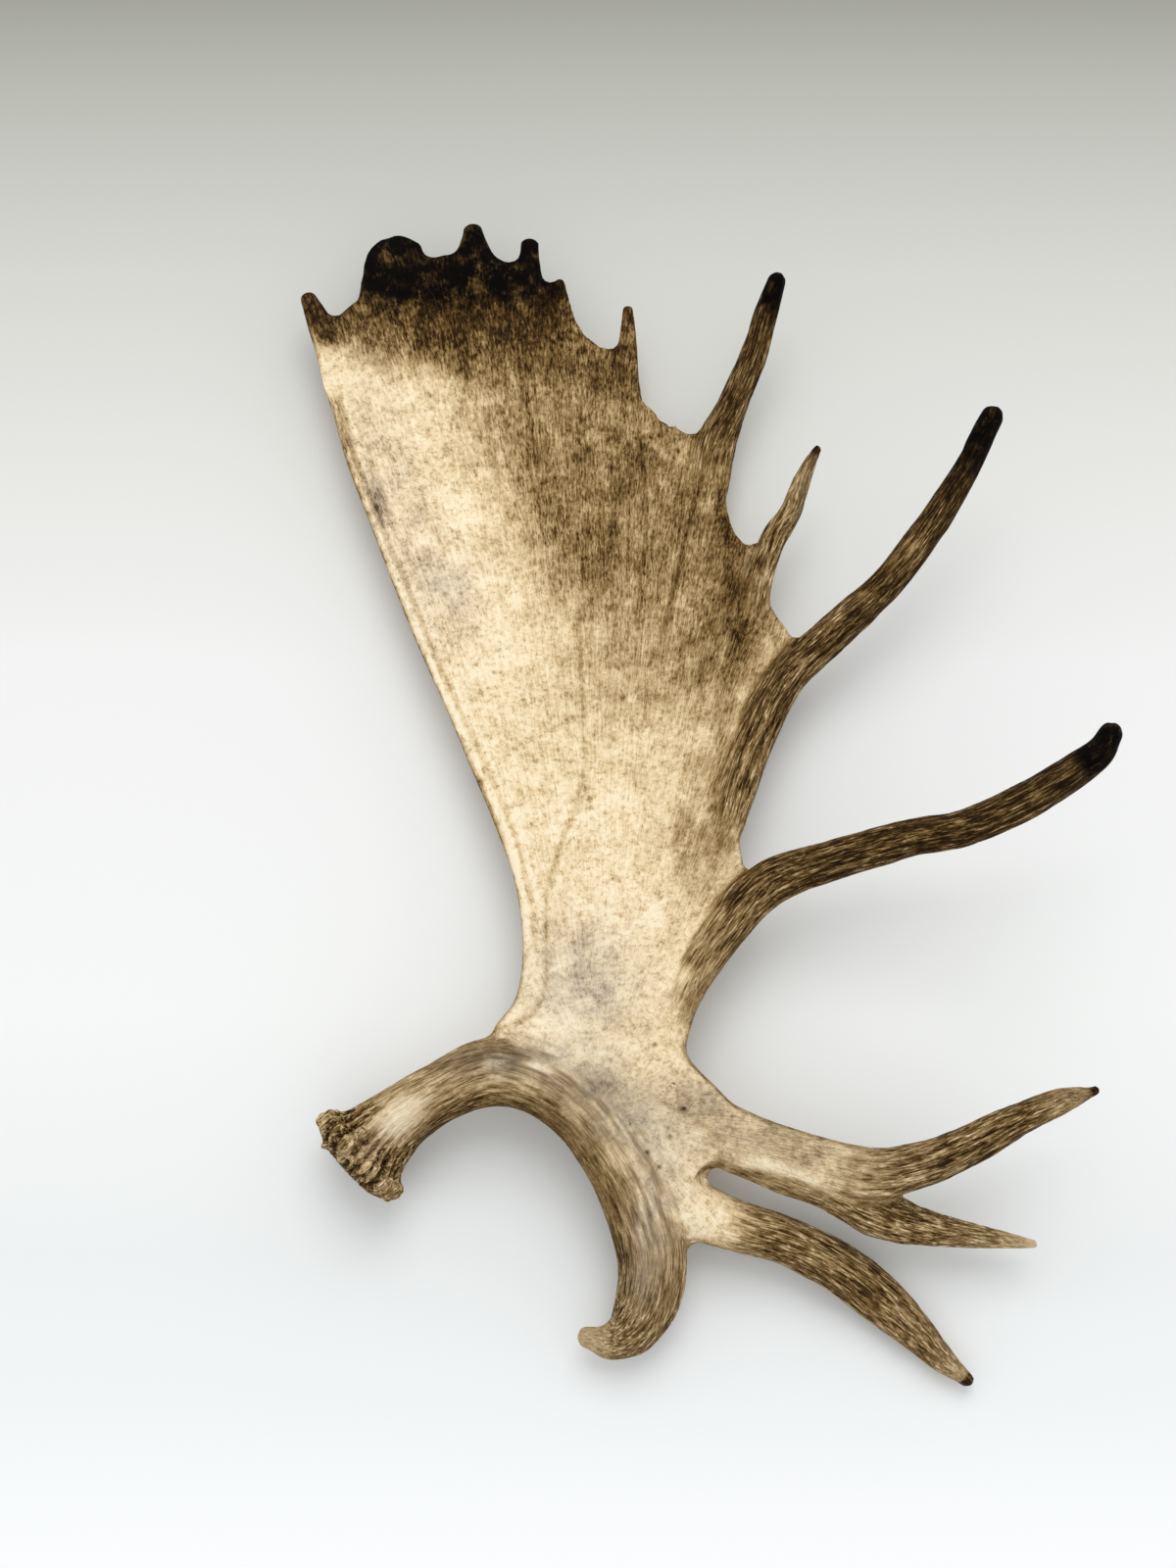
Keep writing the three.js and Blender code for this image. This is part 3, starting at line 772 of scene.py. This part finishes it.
def limbRise():
    flow = limbFlow / mm
    waver = limbRelief["waver"] * softNoise(flow / limbRelief["waverSize"], 11)
    shifted = flow + np.stack([np.zeros(len(flow)), waver, -waver], 1)
    ridges = softNoise(shifted / limbRelief["ridgeSize"], 12)
    fine = softNoise(shifted / limbRelief["fineSize"], 13)
    swell = softNoise(flow / limbRelief["swellSize"], 14) * limbRelief["swell"]
    soot, ivory = limbShades[:, 2], limbShades[:, 3]
    strength = limbShare * np.where(limbOf == 0, limbRelief["beamShare"], 1)
    strength = strength * (1 - limbRelief["ivoryCalm"] * ivory)
    pattern = np.clip(ridges * limbRelief["contrast"], -1, 1)
    rise = pattern * limbRelief["ridgeHeight"] + fine * limbRelief["fineHeight"]
    rise = rise * (1 - limbRelief["sootCalm"] * soot) + swell * (limbOf > 0)
    return strength * rise, strength * np.clip(pattern + limbRelief["fineShare"] * fine, -1, 1)


def palmRise():
    flow = palmFlow / mm
    waves = (1 - limbShare) * softNoise(flow / palmRelief["waveSize"], 21) * palmRelief["waveHeight"]
    lineRise = np.zeros(len(points))
    spots = points[:, :2] / mm
    for rise, width, line in surfaceLines:
        line = np.array(line, float)
        low, high = line.min(0) - palmRelief["lineMargin"], line.max(0) + palmRelief["lineMargin"]
        close = np.all((spots > low) & (spots < high), axis=1)
        away = lineDistance(spots[close], line)
        lineRise[close] += rise * np.exp(-((away / width) ** 2)) * onTop[close]
    along = ease(spots[:, 1], *palmRelief["ribStart"]) * (1 - ease(spots[:, 1], *palmRelief["ribEnd"]))
    waver = palmRelief["ribWaver"] * softNoise(flow / palmRelief["waverSize"], 22)
    for height, distance in palmRelief["ribs"]:
        away = (fromLeft / mm - distance - waver) / palmRelief["ribWidth"]
        lineRise += height * np.exp(-(away**2)) * along * onTop
    return waves + lineRise, lineRise


# The burr: furrows up the shaft, a jagged rim, and pearls along it. The mark is high on the pearls and low
# in the furrows.
def burrRise():
    middles, _, along, across, over = (part[0] for part in sectionsOf(beam, np.array([0.0])))
    offset = (points - middles) / mm
    distance = offset @ along
    angle = np.arctan2(offset @ over, offset @ across)
    radius = np.hypot(offset @ over, offset @ across)
    upShaft, fromMiddle = burrRelief["near"]
    near = (distance < upShaft) & (np.linalg.norm(offset, axis=1) < fromMiddle) & (limbOf == 0)
    drift = [share * np.sin(turns * angle) for share, turns in zip(burrRelief["fluteDrift"], (3, 7))]
    flutes = np.sin(burrRelief["flutes"] * angle + drift[0] + drift[1] + burrRelief["fluteTwist"] * distance)
    fade = near * (1 - ease(distance, *burrRelief["reach"])) * ease(radius, *burrRelief["fluteCore"])
    rim = near * np.exp(-((distance / burrRelief["rim"]) ** 2)) * ease(radius, *burrRelief["rimCore"])
    turned = np.stack([np.cos(angle), np.sin(angle)], 1) * burrRelief["lobes"]
    lobes = softNoise(np.column_stack([turned, distance / burrRelief["lobeLength"]]), 32)
    pearls = np.zeros(len(points))
    fall, power = burrRelief["pearlFall"]
    chance = np.random.default_rng(31)
    for _ in range(burrRelief["pearls"]):
        turn, shift = chance.uniform(0, 2 * math.pi), chance.normal(*burrRelief["pearlRing"])
        size = chance.uniform(0, 1)
        reach = burr["radius"] * (1 - fall * abs(shift) ** power)
        centre = along * shift + (across * math.cos(turn) + over * math.sin(turn)) * reach
        width = np.interp(size, [0, 1], burrRelief["pearlWidth"])
        height = np.interp(size, [0, 1], burrRelief["pearlHeight"])
        away = np.linalg.norm(offset[near] - centre, axis=1)
        pearls[near] = np.maximum(pearls[near], height * np.exp(-((away / width) ** 2)))
    rise = flutes * burrRelief["fluteHeight"] * fade + lobes * burrRelief["lobeHeight"] * rim + pearls
    mark = flutes * burrRelief["fluteMark"] + pearls * burrRelief["pearlMark"] - burrRelief["markLevel"]
    return rise, np.clip(mark, -1, 1), np.maximum(fade, rim)


onLimb, ridgeMark = limbRise()
onPalm, lineMark = palmRise()
onBurr, burrMark, burrShare = burrRise()
ridgeMark = ridgeMark * (1 - burrShare) + burrMark * burrShare
covered = onLimb * (1 - burrRelief["calm"] * burrShare)
points = points + normals * ((covered + onPalm + onBurr) * mm)[:, None]
points[:, 2] = np.maximum(points[:, 2], 0)
skin.vertices.foreach_set("co", points.ravel())
skin.update()
normals = valuesOf(skin.vertex_normals, "vector", 3)
print("relief raised")

# How brown the skin is runs from 0, cream, to 1, near black. Patches on the upper side add to it:
# middle in X and Y, reach both ways, turn in degrees, then what they add of brown and of ash.
patches = [
    (48, 120, 36, 85, -14, 0.28, 0), (-185, 392, 80, 34, 0, 0.36, 0), (-45, 50, 75, 75, 0, 0.17, 0),
    (20, -60, 34, 70, -12, 0.3, 0), (-236, 230, 30, 120, 14, 0.14, 0.5), (-302, 402, 18, 25, 20, 0.9, 0),
    (-296, 378, 10, 7, 30, 0.4, 0), (-38, 378, 15, 36, 0, 0.5, 0), (-62, 350, 26, 20, 0, 0.16, 0),
    (-249, 228, 7, 20, 14, 0.34, 0.8), (-186, 150, 24, 36, 10, 0.14, 0.8),
    (-76, -164, 44, 36, 20, 0.15, 0.75), (-72, -200, 44, 26, 0, 0.1, 0.7), (-20, -215, 40, 30, 0, 0.06, 0),
    (-219, -292, 28, 14, 38, -0.66, 0.5), (-125, -246, 60, 15, 0, 0.02, 0.75),
    (-48, -286, 46, 26, -45, 0.06, 0.7), (-18, -355, 22, 50, 0, 0.1, 0.7), (80, -306, 80, 26, -12, 0.3, 0.5),
    (-150, -243, 26, 13, 10, 0.3, 0.2), (-66, -264, 46, 24, -25, 0.24, 0.4), (15, -270, 26, 22, 0, 0.1, 0.4),
    (-30, -400, 14, 34, 0, -0.1, 0.6), (95, -324, 46, 20, -14, 0.11, 0),
]
# The broad brown stain to the right of a line up the palm: how it fades in across that line and upwards.
stain = {"line": [(-222, 392), (-103, 68)], "acrossFade": [-32, 84], "upFade": [15, 215], "brown": 0.53}
# Dark lines, one partly painted shade: brown, half width, whether they show on the sides too, then their
# points in X and Y.
darkLines = [
    (0.4, 15, True, [(-197, -304), (-168, -286), (-140, -279), (-107, -284), (-84, -303), (-61, -333),
        (-49, -366), (-47, -392)]),
    (0.4, 6, False, [(-289, 320), (-274, 257), (-252, 186), (-226, 117), (-196, 49), (-167, -10),
        (-142, -67)]),
    # Partly painted shade in the gutter beside the long palm tine's root, partly its own olive brown.
    (0.2, 8, False, [(60, 150), (52, 99), (43, 48), (36, -2), (34, -43), (38, -70)]),
    (0.35, 5, False, [(62, 308), (47, 266), (40, 222), (46, 199)]),
    (0.25, 6, False, [(55, -106), (33, -137), (15, -168), (3, -211)]),
    (0.35, 5, False, [(30, -324), (56, -331), (79, -341), (108, -356)]),
]
palmBase = {
    "brown": 0.07,
    "underBrown": 0.42,
    "sideBrown": 0.4,
    "most": 0.95,
    "soften": 0.3,  # how gently it comes up to the most
    "lineMark": 0.6,
}
# The dark top: its lower edge, how far the black and the brown fade across it, and how brown it is.
darkTop = {
    "edge": [
        (-290, 424), (-266, 408), (-242, 405), (-208, 408), (-174, 410), (-140, 414), (-116, 410), (-96, 416),
        (-84, 440),
    ],
    "sootFade": [-24, 24],
    "brownFade": [-66, 4],
    "brown": 0.62,
}
# Small dark dots on the palm's upper side.
darkDots = {
    "radius": 1.7,
    "brown": 0.48,
    "at": [
        (-42, 58), (-40, 60), (-125, 55), (-117, -53), (-78, -128), (-51, -98), (-20, -233), (2, -282),
        (-26, -314), (-9, -303), (-17, -325), (-250, 224), (-70, -30),
    ],
}
pearlPaleness = 0.2  # how much paler the pearls are, and how much darker the furrows


def patchValues():
    values = {name: np.zeros(len(points)) for name in ("brown", "ash")}
    spots = points[:, :2] / mm
    for x, y, width, length, degrees, brown, ash in patches:
        turn = math.radians(degrees)
        offset = spots - (x, y)
        across = offset[:, 0] * math.cos(turn) + offset[:, 1] * math.sin(turn)
        along = offset[:, 1] * math.cos(turn) - offset[:, 0] * math.sin(turn)
        spread = np.exp(-((across / width) ** 2 + (along / length) ** 2))
        values["brown"] += brown * spread * onTop
        values["ash"] += ash * spread * onTop
    for brown, width, onSides, line in darkLines:
        away = lineDistance(spots, np.array(line, float))
        spread = np.exp(-((away / width) ** 2)) * (1 if onSides else onTop)
        values["brown"] += brown * spread
    start, end = np.array(stain["line"], float)
    beyond = (spots - start) @ np.array([start[1] - end[1], end[0] - start[0]]) / np.linalg.norm(end - start)
    spread = ease(beyond, *stain["acrossFade"]) * ease(spots[:, 1], *stain["upFade"]) * onTop
    values["brown"] += stain["brown"] * spread
    edge = np.array(darkTop["edge"], float)
    above = spots[:, 1] - np.interp(spots[:, 0], edge[:, 0], edge[:, 1])
    values["brown"] += darkTop["brown"] * ease(above, *darkTop["brownFade"])
    values["soot"] = ease(above, *darkTop["sootFade"])
    away = np.min([np.linalg.norm(spots - dot, axis=1) for dot in darkDots["at"]], axis=0)
    values["brown"] += darkDots["brown"] * np.exp(-((away / darkDots["radius"]) ** 2)) * onTop
    return values


values = patchValues()
under = (1 - onTop) * (1 - onSide)
palmBrown = palmBase["brown"] * onTop + palmBase["underBrown"] * under
palmBrown = palmBrown + palmBase["sideBrown"] * onSide + values["brown"]
softened = palmBase["most"] - palmBase["soften"]
over = np.maximum(palmBrown - softened, 0)
palmBrown = np.minimum(palmBrown, softened) + palmBase["soften"] * (1 - np.exp(-over / palmBase["soften"]))
palmBrown = np.maximum(palmBrown, values["soot"])
limbBrown = limbShades[:, 0] + np.where(limbOf == 0, values["brown"], 0)
limbBrown = limbBrown - pearlPaleness * burrMark * burrShare
looks = {
    "limbShare": limbShare,
    "brown": np.clip(limbBrown * limbStain + palmBrown * (1 - limbStain), 0, 1),
    "cream": limbShades[:, 1],
    "soot": np.clip(np.maximum(limbShades[:, 2] * limbStain, values["soot"]), 0, 1),
    "ivory": limbShades[:, 3] * limbStain,
    "ash": np.clip(values["ash"], 0, 1),
    "ridge": 0.5 + 0.5 * ridgeMark,
    "line": np.clip(0.5 + palmBase["lineMark"] * lineMark, 0, 1),
}
# The palm's growth fans out from a point below its waist.
fan = {"from": (-60, -281), "spread": 480 * mm}
fanOffset = points[:, :2] - np.array(fan["from"]) * mm
fanAngle = np.arctan2(fanOffset[:, 0], fanOffset[:, 1])
fanFlow = np.stack([np.linalg.norm(fanOffset, axis=1), fanAngle * fan["spread"], points[:, 2]], 1)
flows = {"limbFlow": limbFlow, "fanFlow": fanFlow}
print("colours laid out")


# A colour from its sRGB code, as Blender's linear values.
def shade(code):
    parts = [int(code[i:i + 2], 16) / 255 for i in (1, 3, 5)]
    linear = [part / 12.92 if part <= 0.04045 else ((part + 0.055) / 1.055) ** 2.4 for part in parts]
    return (*linear, 1)


# Adds nodes to a material, each with the values or the links of its sockets.
class Tree:
    def __init__(self, material):
        material.use_nodes = True
        self.tree = material.node_tree
        self.tree.nodes.clear()

    def add(self, kind, sockets=None, **settings):
        made = self.tree.nodes.new("ShaderNode" + kind)
        for name, value in settings.items():
            setattr(made, name, value)
        for name, value in (sockets or {}).items():
            if isinstance(value, bpy.types.NodeSocket):
                self.tree.links.new(value, made.inputs[name])
            else:
                made.inputs[name].default_value = value
        return made

    def maths(self, operation, *values, clamp=False):
        return self.add("Math", dict(enumerate(values)), operation=operation, use_clamp=clamp).outputs[0]

    # value * by + plus
    def timesPlus(self, value, by, plus, clamp=False):
        return self.maths("MULTIPLY_ADD", value, by, plus, clamp=clamp)

    def centred(self, value, size):
        return self.maths("MULTIPLY", self.maths("SUBTRACT", value, 0.5), size)

    def stretch(self, value, low, high, start=0.0, end=1.0):
        sockets = {"Value": value, "From Min": low, "From Max": high, "To Min": start, "To Max": end}
        return self.add("MapRange", sockets, clamp=True).outputs["Result"]

    def number(self, name):
        return self.add("Attribute", attribute_name=name).outputs["Fac"]

    def noise(self, flow, sizes, detail, roughness, distortion, low=0.35, high=0.65):
        finer = [1 / (size * mm) for size in sizes]
        scaled = self.add("VectorMath", {0: flow, 1: finer}, operation="MULTIPLY").outputs[0]
        shape = {"Scale": 1.0, "Detail": detail, "Roughness": roughness, "Distortion": distortion}
        return self.stretch(self.add("TexNoise", {"Vector": scaled, **shape}).outputs[0], low, high)

    # Thin lines where a noise crosses its middle.
    def lines(self, flow, sizes, width, distortion):
        level = self.noise(flow, sizes, 2, 0.5, distortion, 0.0, 1.0)
        away = self.maths("ABSOLUTE", self.maths("SUBTRACT", level, 0.5))
        return self.stretch(away, 0.0, width, 1.0, 0.0)

    def mixNumbers(self, share, a, b):
        return self.add("Mix", {0: share, 2: a, 3: b}, data_type="FLOAT").outputs[0]

    def mixColours(self, share, a, b):
        return self.add("Mix", {0: share, 6: a, 7: b}, data_type="RGBA").outputs[2]

    def ramp(self, value, stops):
        made = self.add("ValToRGB", {"Fac": value})
        elements = made.color_ramp.elements
        for element, (position, code) in zip(elements, (stops[0], stops[-1])):
            element.position, element.color = position, shade(code)
        for position, code in stops[1:-1]:
            elements.new(position).color = shade(code)
        return made.outputs[0]

    def surface(self, sockets):
        shader = self.add("BsdfPrincipled", sockets)
        self.tree.links.new(shader.outputs[0], self.add("OutputMaterial").inputs[0])


# Age runs from 0, fresh cream bone, to 1, near black.
antlerFinish = {
    "ageColours": [
        (0.0, "#fff1d0"), (0.14, "#f1d9af"), (0.3, "#d0b68a"), (0.46, "#a98d62"), (0.62, "#82673c"),
        (0.8, "#543d1c"), (1.0, "#26180a"),
    ],
    "soot": "#050201",
    "sootRagged": (0.3, 0.6),  # how far fine strokes and broad mottling break its edge
    "sootFrom": 0.35,
    "ivory": "#d8bf97",
    "ivoryUneven": (0.35, 0.6),  # how much follows the fibres, and how much is even
    "ashUneven": (0.7, 0.35),  # how much follows the mottling, and how much is even
    "ashGreying": -0.38,
    "ashDarkening": -0.1,
    "roughness": 0.62,
    "fleckRoughness": 0.1,
    "shine": 0.05,
    "bumpStrength": 0.8,
    "bumpDepth": 0.55 * mm,
}
# What each noise runs along, its sizes, detail, roughness and distortion, and the band of it that is used.
antlerNoises = {
    "clouds": ("place", (70, 70, 70), 4, 0.6, 0.3),
    "mottling": ("place", (17, 17, 17), 6, 0.7, 0.3),
    "flecks": ("place", (4.5, 4.5, 4.5), 6, 0.8, 0.2, 0.37, 0.63),
    "dashes": ("fanFlow", (6.5, 1.3, 3), 5, 0.75, 0.0, 0.37, 0.63),
    "streaks": ("fanFlow", (60, 3, 6), 5, 0.7, 0.3),
    "fibres": ("limbFlow", (15, 1.05, 1.05), 5, 0.72, 0.15, 0.37, 0.63),
    "broken": ("limbFlow", (9, 5, 5), 4, 0.65, 0.0),
    "gutters": ("limbFlow", (20, 1.5, 1.5), 4, 0.65, 0.25, 0.38, 0.62),
}
# Thin lines along the limbs: sizes, width and distortion.
limbLines = {"veins": ((17, 2.8, 2.8), 0.06, 0.3), "cracks": ((14, 2, 2), 0.05, 0.3)}
# How strong each pattern is, as a change of age. The first of a pair counts as far as it's brown, or cream.
palmStrokes = {
    "age": (0.97, -0.04),
    "clouds": 0.24,
    "mottling": 0.44,
    "streaks": 0.34,
    "slow": (0.5, 0.4),  # how much the three above count
    "dashBand": (0.1, 0.45, 0.25, 0.75),  # between which browns flecks turn into dashes, and by how much
    "flecks": (-0.2, 0.42),
    "dashes": 0.66,
    "lines": 0.5,
    "sootCalm": -0.7,
    "height": -0.7,
}
limbStrokes = {
    "age": (0.8, 0.124),
    "veins": (0.3, 0.06),
    "veinBreaks": (0.8, 0.2),  # how much of them is broken, and how much stays
    "cracks": 0.14,
    "gutters": 0.32,
    "fibres": -0.5,
    "ridges": -0.2,
    "mottling": 0.14,
    "ashCalm": -0.75,
    "brownContrast": 0.8,
    "creamContrast": (0.34, 0.26),
    "veinHeight": 0.8,
    "gutterHeight": -0.7,
}


# The palm: fine flecks, and short dashes where it's browner, over slow mottling.
def palmPattern(tree, noises, brown):
    maths, timesPlus, centred = tree.maths, tree.timesPlus, tree.centred
    dashShare = tree.stretch(brown, *palmStrokes["dashBand"])
    spotted = tree.mixNumbers(dashShare, noises["flecks"], noises["dashes"])
    slow = [centred(noises[key], palmStrokes[key]) for key in ("clouds", "mottling", "streaks")]
    slow = maths("ADD", maths("ADD", slow[0], slow[1]), slow[2])
    browned = timesPlus(slow, timesPlus(brown, *palmStrokes["slow"]), brown, clamp=True)
    dark = maths("MULTIPLY", spotted, maths("MULTIPLY", spotted, spotted))
    calm = timesPlus(tree.number("soot"), palmStrokes["sootCalm"], 1.0)
    age = timesPlus(browned, *palmStrokes["age"])
    age = timesPlus(maths("MULTIPLY", dark, calm), timesPlus(browned, *palmStrokes["flecks"]), age)
    uneven = maths("MULTIPLY", centred(spotted, palmStrokes["dashes"]), maths("MULTIPLY", browned, calm))
    age = maths("ADD", age, uneven)
    age = timesPlus(maths("SUBTRACT", 0.5, tree.number("line")), palmStrokes["lines"], age)
    return age, maths("MULTIPLY", spotted, palmStrokes["height"]), dark


# The limbs: thin wavering pale lines over brown furrows.
def limbPattern(tree, noises, brown, flow):
    maths, timesPlus, centred = tree.maths, tree.timesPlus, tree.centred
    cream, gutters, fibres = tree.number("cream"), noises["gutters"], noises["fibres"]
    veins, cracks = (tree.lines(flow, *limbLines[key]) for key in ("veins", "cracks"))
    paleness = maths("MULTIPLY", veins, timesPlus(noises["broken"], *limbStrokes["veinBreaks"]))
    grain = timesPlus(cracks, limbStrokes["cracks"], centred(gutters, limbStrokes["gutters"]))
    grain = maths("ADD", grain, centred(fibres, limbStrokes["fibres"]))
    grain = maths("SUBTRACT", grain, maths("MULTIPLY", paleness, timesPlus(cream, *limbStrokes["veins"])))
    grain = maths("ADD", grain, centred(tree.number("ridge"), limbStrokes["ridges"]))
    grain = maths("MULTIPLY", grain, timesPlus(tree.number("ash"), limbStrokes["ashCalm"], 1.0))
    contrast = timesPlus(brown, limbStrokes["brownContrast"], timesPlus(cream, *limbStrokes["creamContrast"]))
    age = timesPlus(grain, contrast, timesPlus(brown, *limbStrokes["age"]))
    age = maths("ADD", age, centred(noises["mottling"], limbStrokes["mottling"]))
    carved = timesPlus(gutters, limbStrokes["gutterHeight"], fibres)
    return age, maths("ADD", maths("MULTIPLY", paleness, limbStrokes["veinHeight"]), carved)


# Both patterns, and over them ash that dulls, ivory that polishes, and soot that blackens with a ragged edge.
def antlerMaterial(name):
    material = bpy.data.materials.new(name)
    tree = Tree(material)
    number, maths, timesPlus, centred = tree.number, tree.maths, tree.timesPlus, tree.centred
    ways = {key: tree.add("Attribute", attribute_name=key).outputs["Vector"] for key in flows}
    ways["place"] = tree.add("TexCoord").outputs["Object"]
    noises = {key: tree.noise(ways[way], *shape) for key, (way, *shape) in antlerNoises.items()}
    mottling, fibres = noises["mottling"], noises["fibres"]
    share, brown = number("limbShare"), number("brown")
    palmAge, palmHeight, dark = palmPattern(tree, noises, brown)
    limbAge, limbHeight = limbPattern(tree, noises, brown, ways["limbFlow"])
    colour = tree.ramp(tree.mixNumbers(share, palmAge, limbAge), antlerFinish["ageColours"])
    ash = maths("MULTIPLY", number("ash"), timesPlus(mottling, *antlerFinish["ashUneven"]))
    saturation = timesPlus(ash, antlerFinish["ashGreying"], 1.0)
    dulled = {"Saturation": saturation, "Value": timesPlus(ash, antlerFinish["ashDarkening"], 1.0)}
    colour = tree.add("HueSaturation", {"Color": colour, **dulled}).outputs[0]
    worn = maths("MULTIPLY", number("ivory"), timesPlus(fibres, *antlerFinish["ivoryUneven"]), clamp=True)
    colour = tree.mixColours(worn, colour, shade(antlerFinish["ivory"]))
    fine, broad = antlerFinish["sootRagged"]
    ragged = maths("ADD", number("soot"), centred(tree.mixNumbers(share, noises["dashes"], fibres), fine))
    ragged = maths("ADD", ragged, centred(tree.mixNumbers(share, mottling, noises["broken"]), broad))
    sooty = tree.stretch(ragged, antlerFinish["sootFrom"], 1.0)
    colour = tree.mixColours(sooty, colour, shade(antlerFinish["soot"]))
    height = tree.mixNumbers(share, palmHeight, limbHeight)
    depth = {"Strength": antlerFinish["bumpStrength"], "Distance": antlerFinish["bumpDepth"]}
    tree.surface({
        "Base Color": colour,
        "Roughness": timesPlus(dark, antlerFinish["fleckRoughness"], antlerFinish["roughness"]),
        "Normal": tree.add("Bump", {"Height": height, **depth}).outputs[0],
        "Specular IOR Level": antlerFinish["shine"],
    })
    return material


finishes = {slot: antlerMaterial(slot) for slot in ("pale_antler", "brown_antler")}
print("materials made")

paleNodes = ("palm", "beam", "brow_palm")
seamCount = np.zeros(len(points), int)
for number in range(len(pieceNames)):
    seamCount[np.unique(cornerPoint[facePiece[cornerFace] == number])] += 1
onSeam = seamCount > 1


# One piece of the skin as a closed mesh of its own, with its cut ends filled and the skin's looks kept.
def pieceMesh(name, number):
    mine = np.nonzero(facePiece == number)[0]
    faces = [cornerPoint[loopEnds[i]:loopEnds[i + 1]] for i in mine]
    used = np.unique(np.concatenate(faces))
    local = np.full(len(points), -1)
    local[used] = np.arange(len(used))
    mesh = bpy.data.meshes.new(name)
    mesh.from_pydata(points[used].tolist(), [], [local[face].tolist() for face in faces])
    work = bmesh.new()
    work.from_mesh(mesh)
    bmesh.ops.holes_fill(work, edges=[edge for edge in work.edges if edge.is_boundary], sides=0)
    work.to_mesh(mesh)
    work.free()
    for key, values in looks.items():
        layer = mesh.attributes.new(key, "FLOAT", "POINT")
        layer.data.foreach_set("value", values[used].astype(np.float32))
    for key, vectors in flows.items():
        layer = mesh.attributes.new(key, "FLOAT_VECTOR", "POINT")
        layer.data.foreach_set("vector", vectors[used].astype(np.float32).ravel())
    mesh.polygons.foreach_set("use_smooth", np.ones(len(mesh.polygons), bool))
    # At the seams the two pieces share the whole skin's normals, so that the join doesn't show.
    corner = valuesOf(mesh.loops, "vertex_index", kind=int)
    kept = np.where(onSeam[used][corner][:, None], normals[used][corner], 0)
    for face in list(mesh.polygons)[len(faces):]:
        kept[face.loop_start:face.loop_start + face.loop_total] = face.normal
    mesh.normals_split_custom_set(kept.tolist())
    return mesh


for number, name in enumerate(pieceNames):
    slotName = "pale_antler" if name in paleNodes else "brown_antler"
    piece = placed(name + "_skin", pieceMesh(name, number))
    piece.data.materials.append(finishes[slotName])
    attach(piece, "root")
    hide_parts(name)
    print(name, "triangles:", sum(len(face.vertices) - 2 for face in piece.data.polygons))

studio = {
    # The paper's colour at places along Y in metres: painted shade, greying from near white to dark towards
    # +Y.
    "paperWithPaintedShade": [
        (-0.62, "#fbfdfe"), (-0.5, "#f2f5f6"), (-0.39, "#edf0f0"), (-0.2, "#f3f5f4"), (0.1, "#edeeed"),
        (0.27, "#e1e2de"), (0.46, "#cfd0ca"), (0.56, "#c1c2bb"), (0.66, "#b0b1a9"), (0.76, "#98988d"),
    ],
    "paperReach": 1.0,
    "paperRoughness": 0.8,
    "paperShine": 0.2,
    "floorReach": 6,
    "lens": 45,
    "sensorWidth": 36,
    "cameraAt": (-0.0715, -0.4036, 1.5925),
    "cameraTilt": 14,
    "windowPower": 56,
    "windowSize": 2.6,
    "windowAt": (0.1, 1.9, 3.5),
    "skyStrength": 0.79,
}
far = studio["floorReach"]
floorMesh = bpy.data.meshes.new("floor")
floorMesh.from_pydata([(-far, -far, 0), (far, -far, 0), (far, far, 0), (-far, far, 0)], [], [(0, 1, 2, 3)])
floor = placed("floor", floorMesh)
# Painted shade: the paper's colour darkens along Y towards the far side.
paperWithPaintedShade = bpy.data.materials.new("paperWithPaintedShade")
tree = Tree(paperWithPaintedShade)
alongFloor = tree.add("SeparateXYZ", {0: tree.add("TexCoord").outputs["Object"]}).outputs["Y"]
reach = studio["paperReach"]
stops = [((position / reach + 1) / 2, code) for position, code in studio["paperWithPaintedShade"]]
tree.surface({
    "Base Color": tree.ramp(tree.stretch(alongFloor, -reach, reach), stops),
    "Roughness": studio["paperRoughness"],
    "Specular IOR Level": studio["paperShine"],
})
floorMesh.materials.append(paperWithPaintedShade)

cameraData = bpy.data.cameras.new("camera")
cameraData.lens, cameraData.sensor_width = studio["lens"], studio["sensorWidth"]
camera = placed("camera", cameraData)
camera.location = studio["cameraAt"]
camera.rotation_euler = (math.radians(studio["cameraTilt"]), 0, 0)
bpy.context.scene.camera = camera

windowLight = bpy.data.lights.new("window", "AREA")
windowLight.energy, windowLight.shape = studio["windowPower"], "SQUARE"
windowLight.size = studio["windowSize"]
window = placed("window", windowLight)
window.location = studio["windowAt"]
window.rotation_euler = (-window.location).to_track_quat("-Z", "Y").to_euler()
world = bpy.data.worlds.new("studio")
world.use_nodes = True
sky = world.node_tree.nodes["Background"].inputs
sky["Strength"].default_value = studio["skyStrength"]
sky["Color"].default_value = (1, 1, 1, 1)
bpy.context.scene.world = world
bpy.context.scene.view_settings.view_transform = "Standard"
print("studio set")
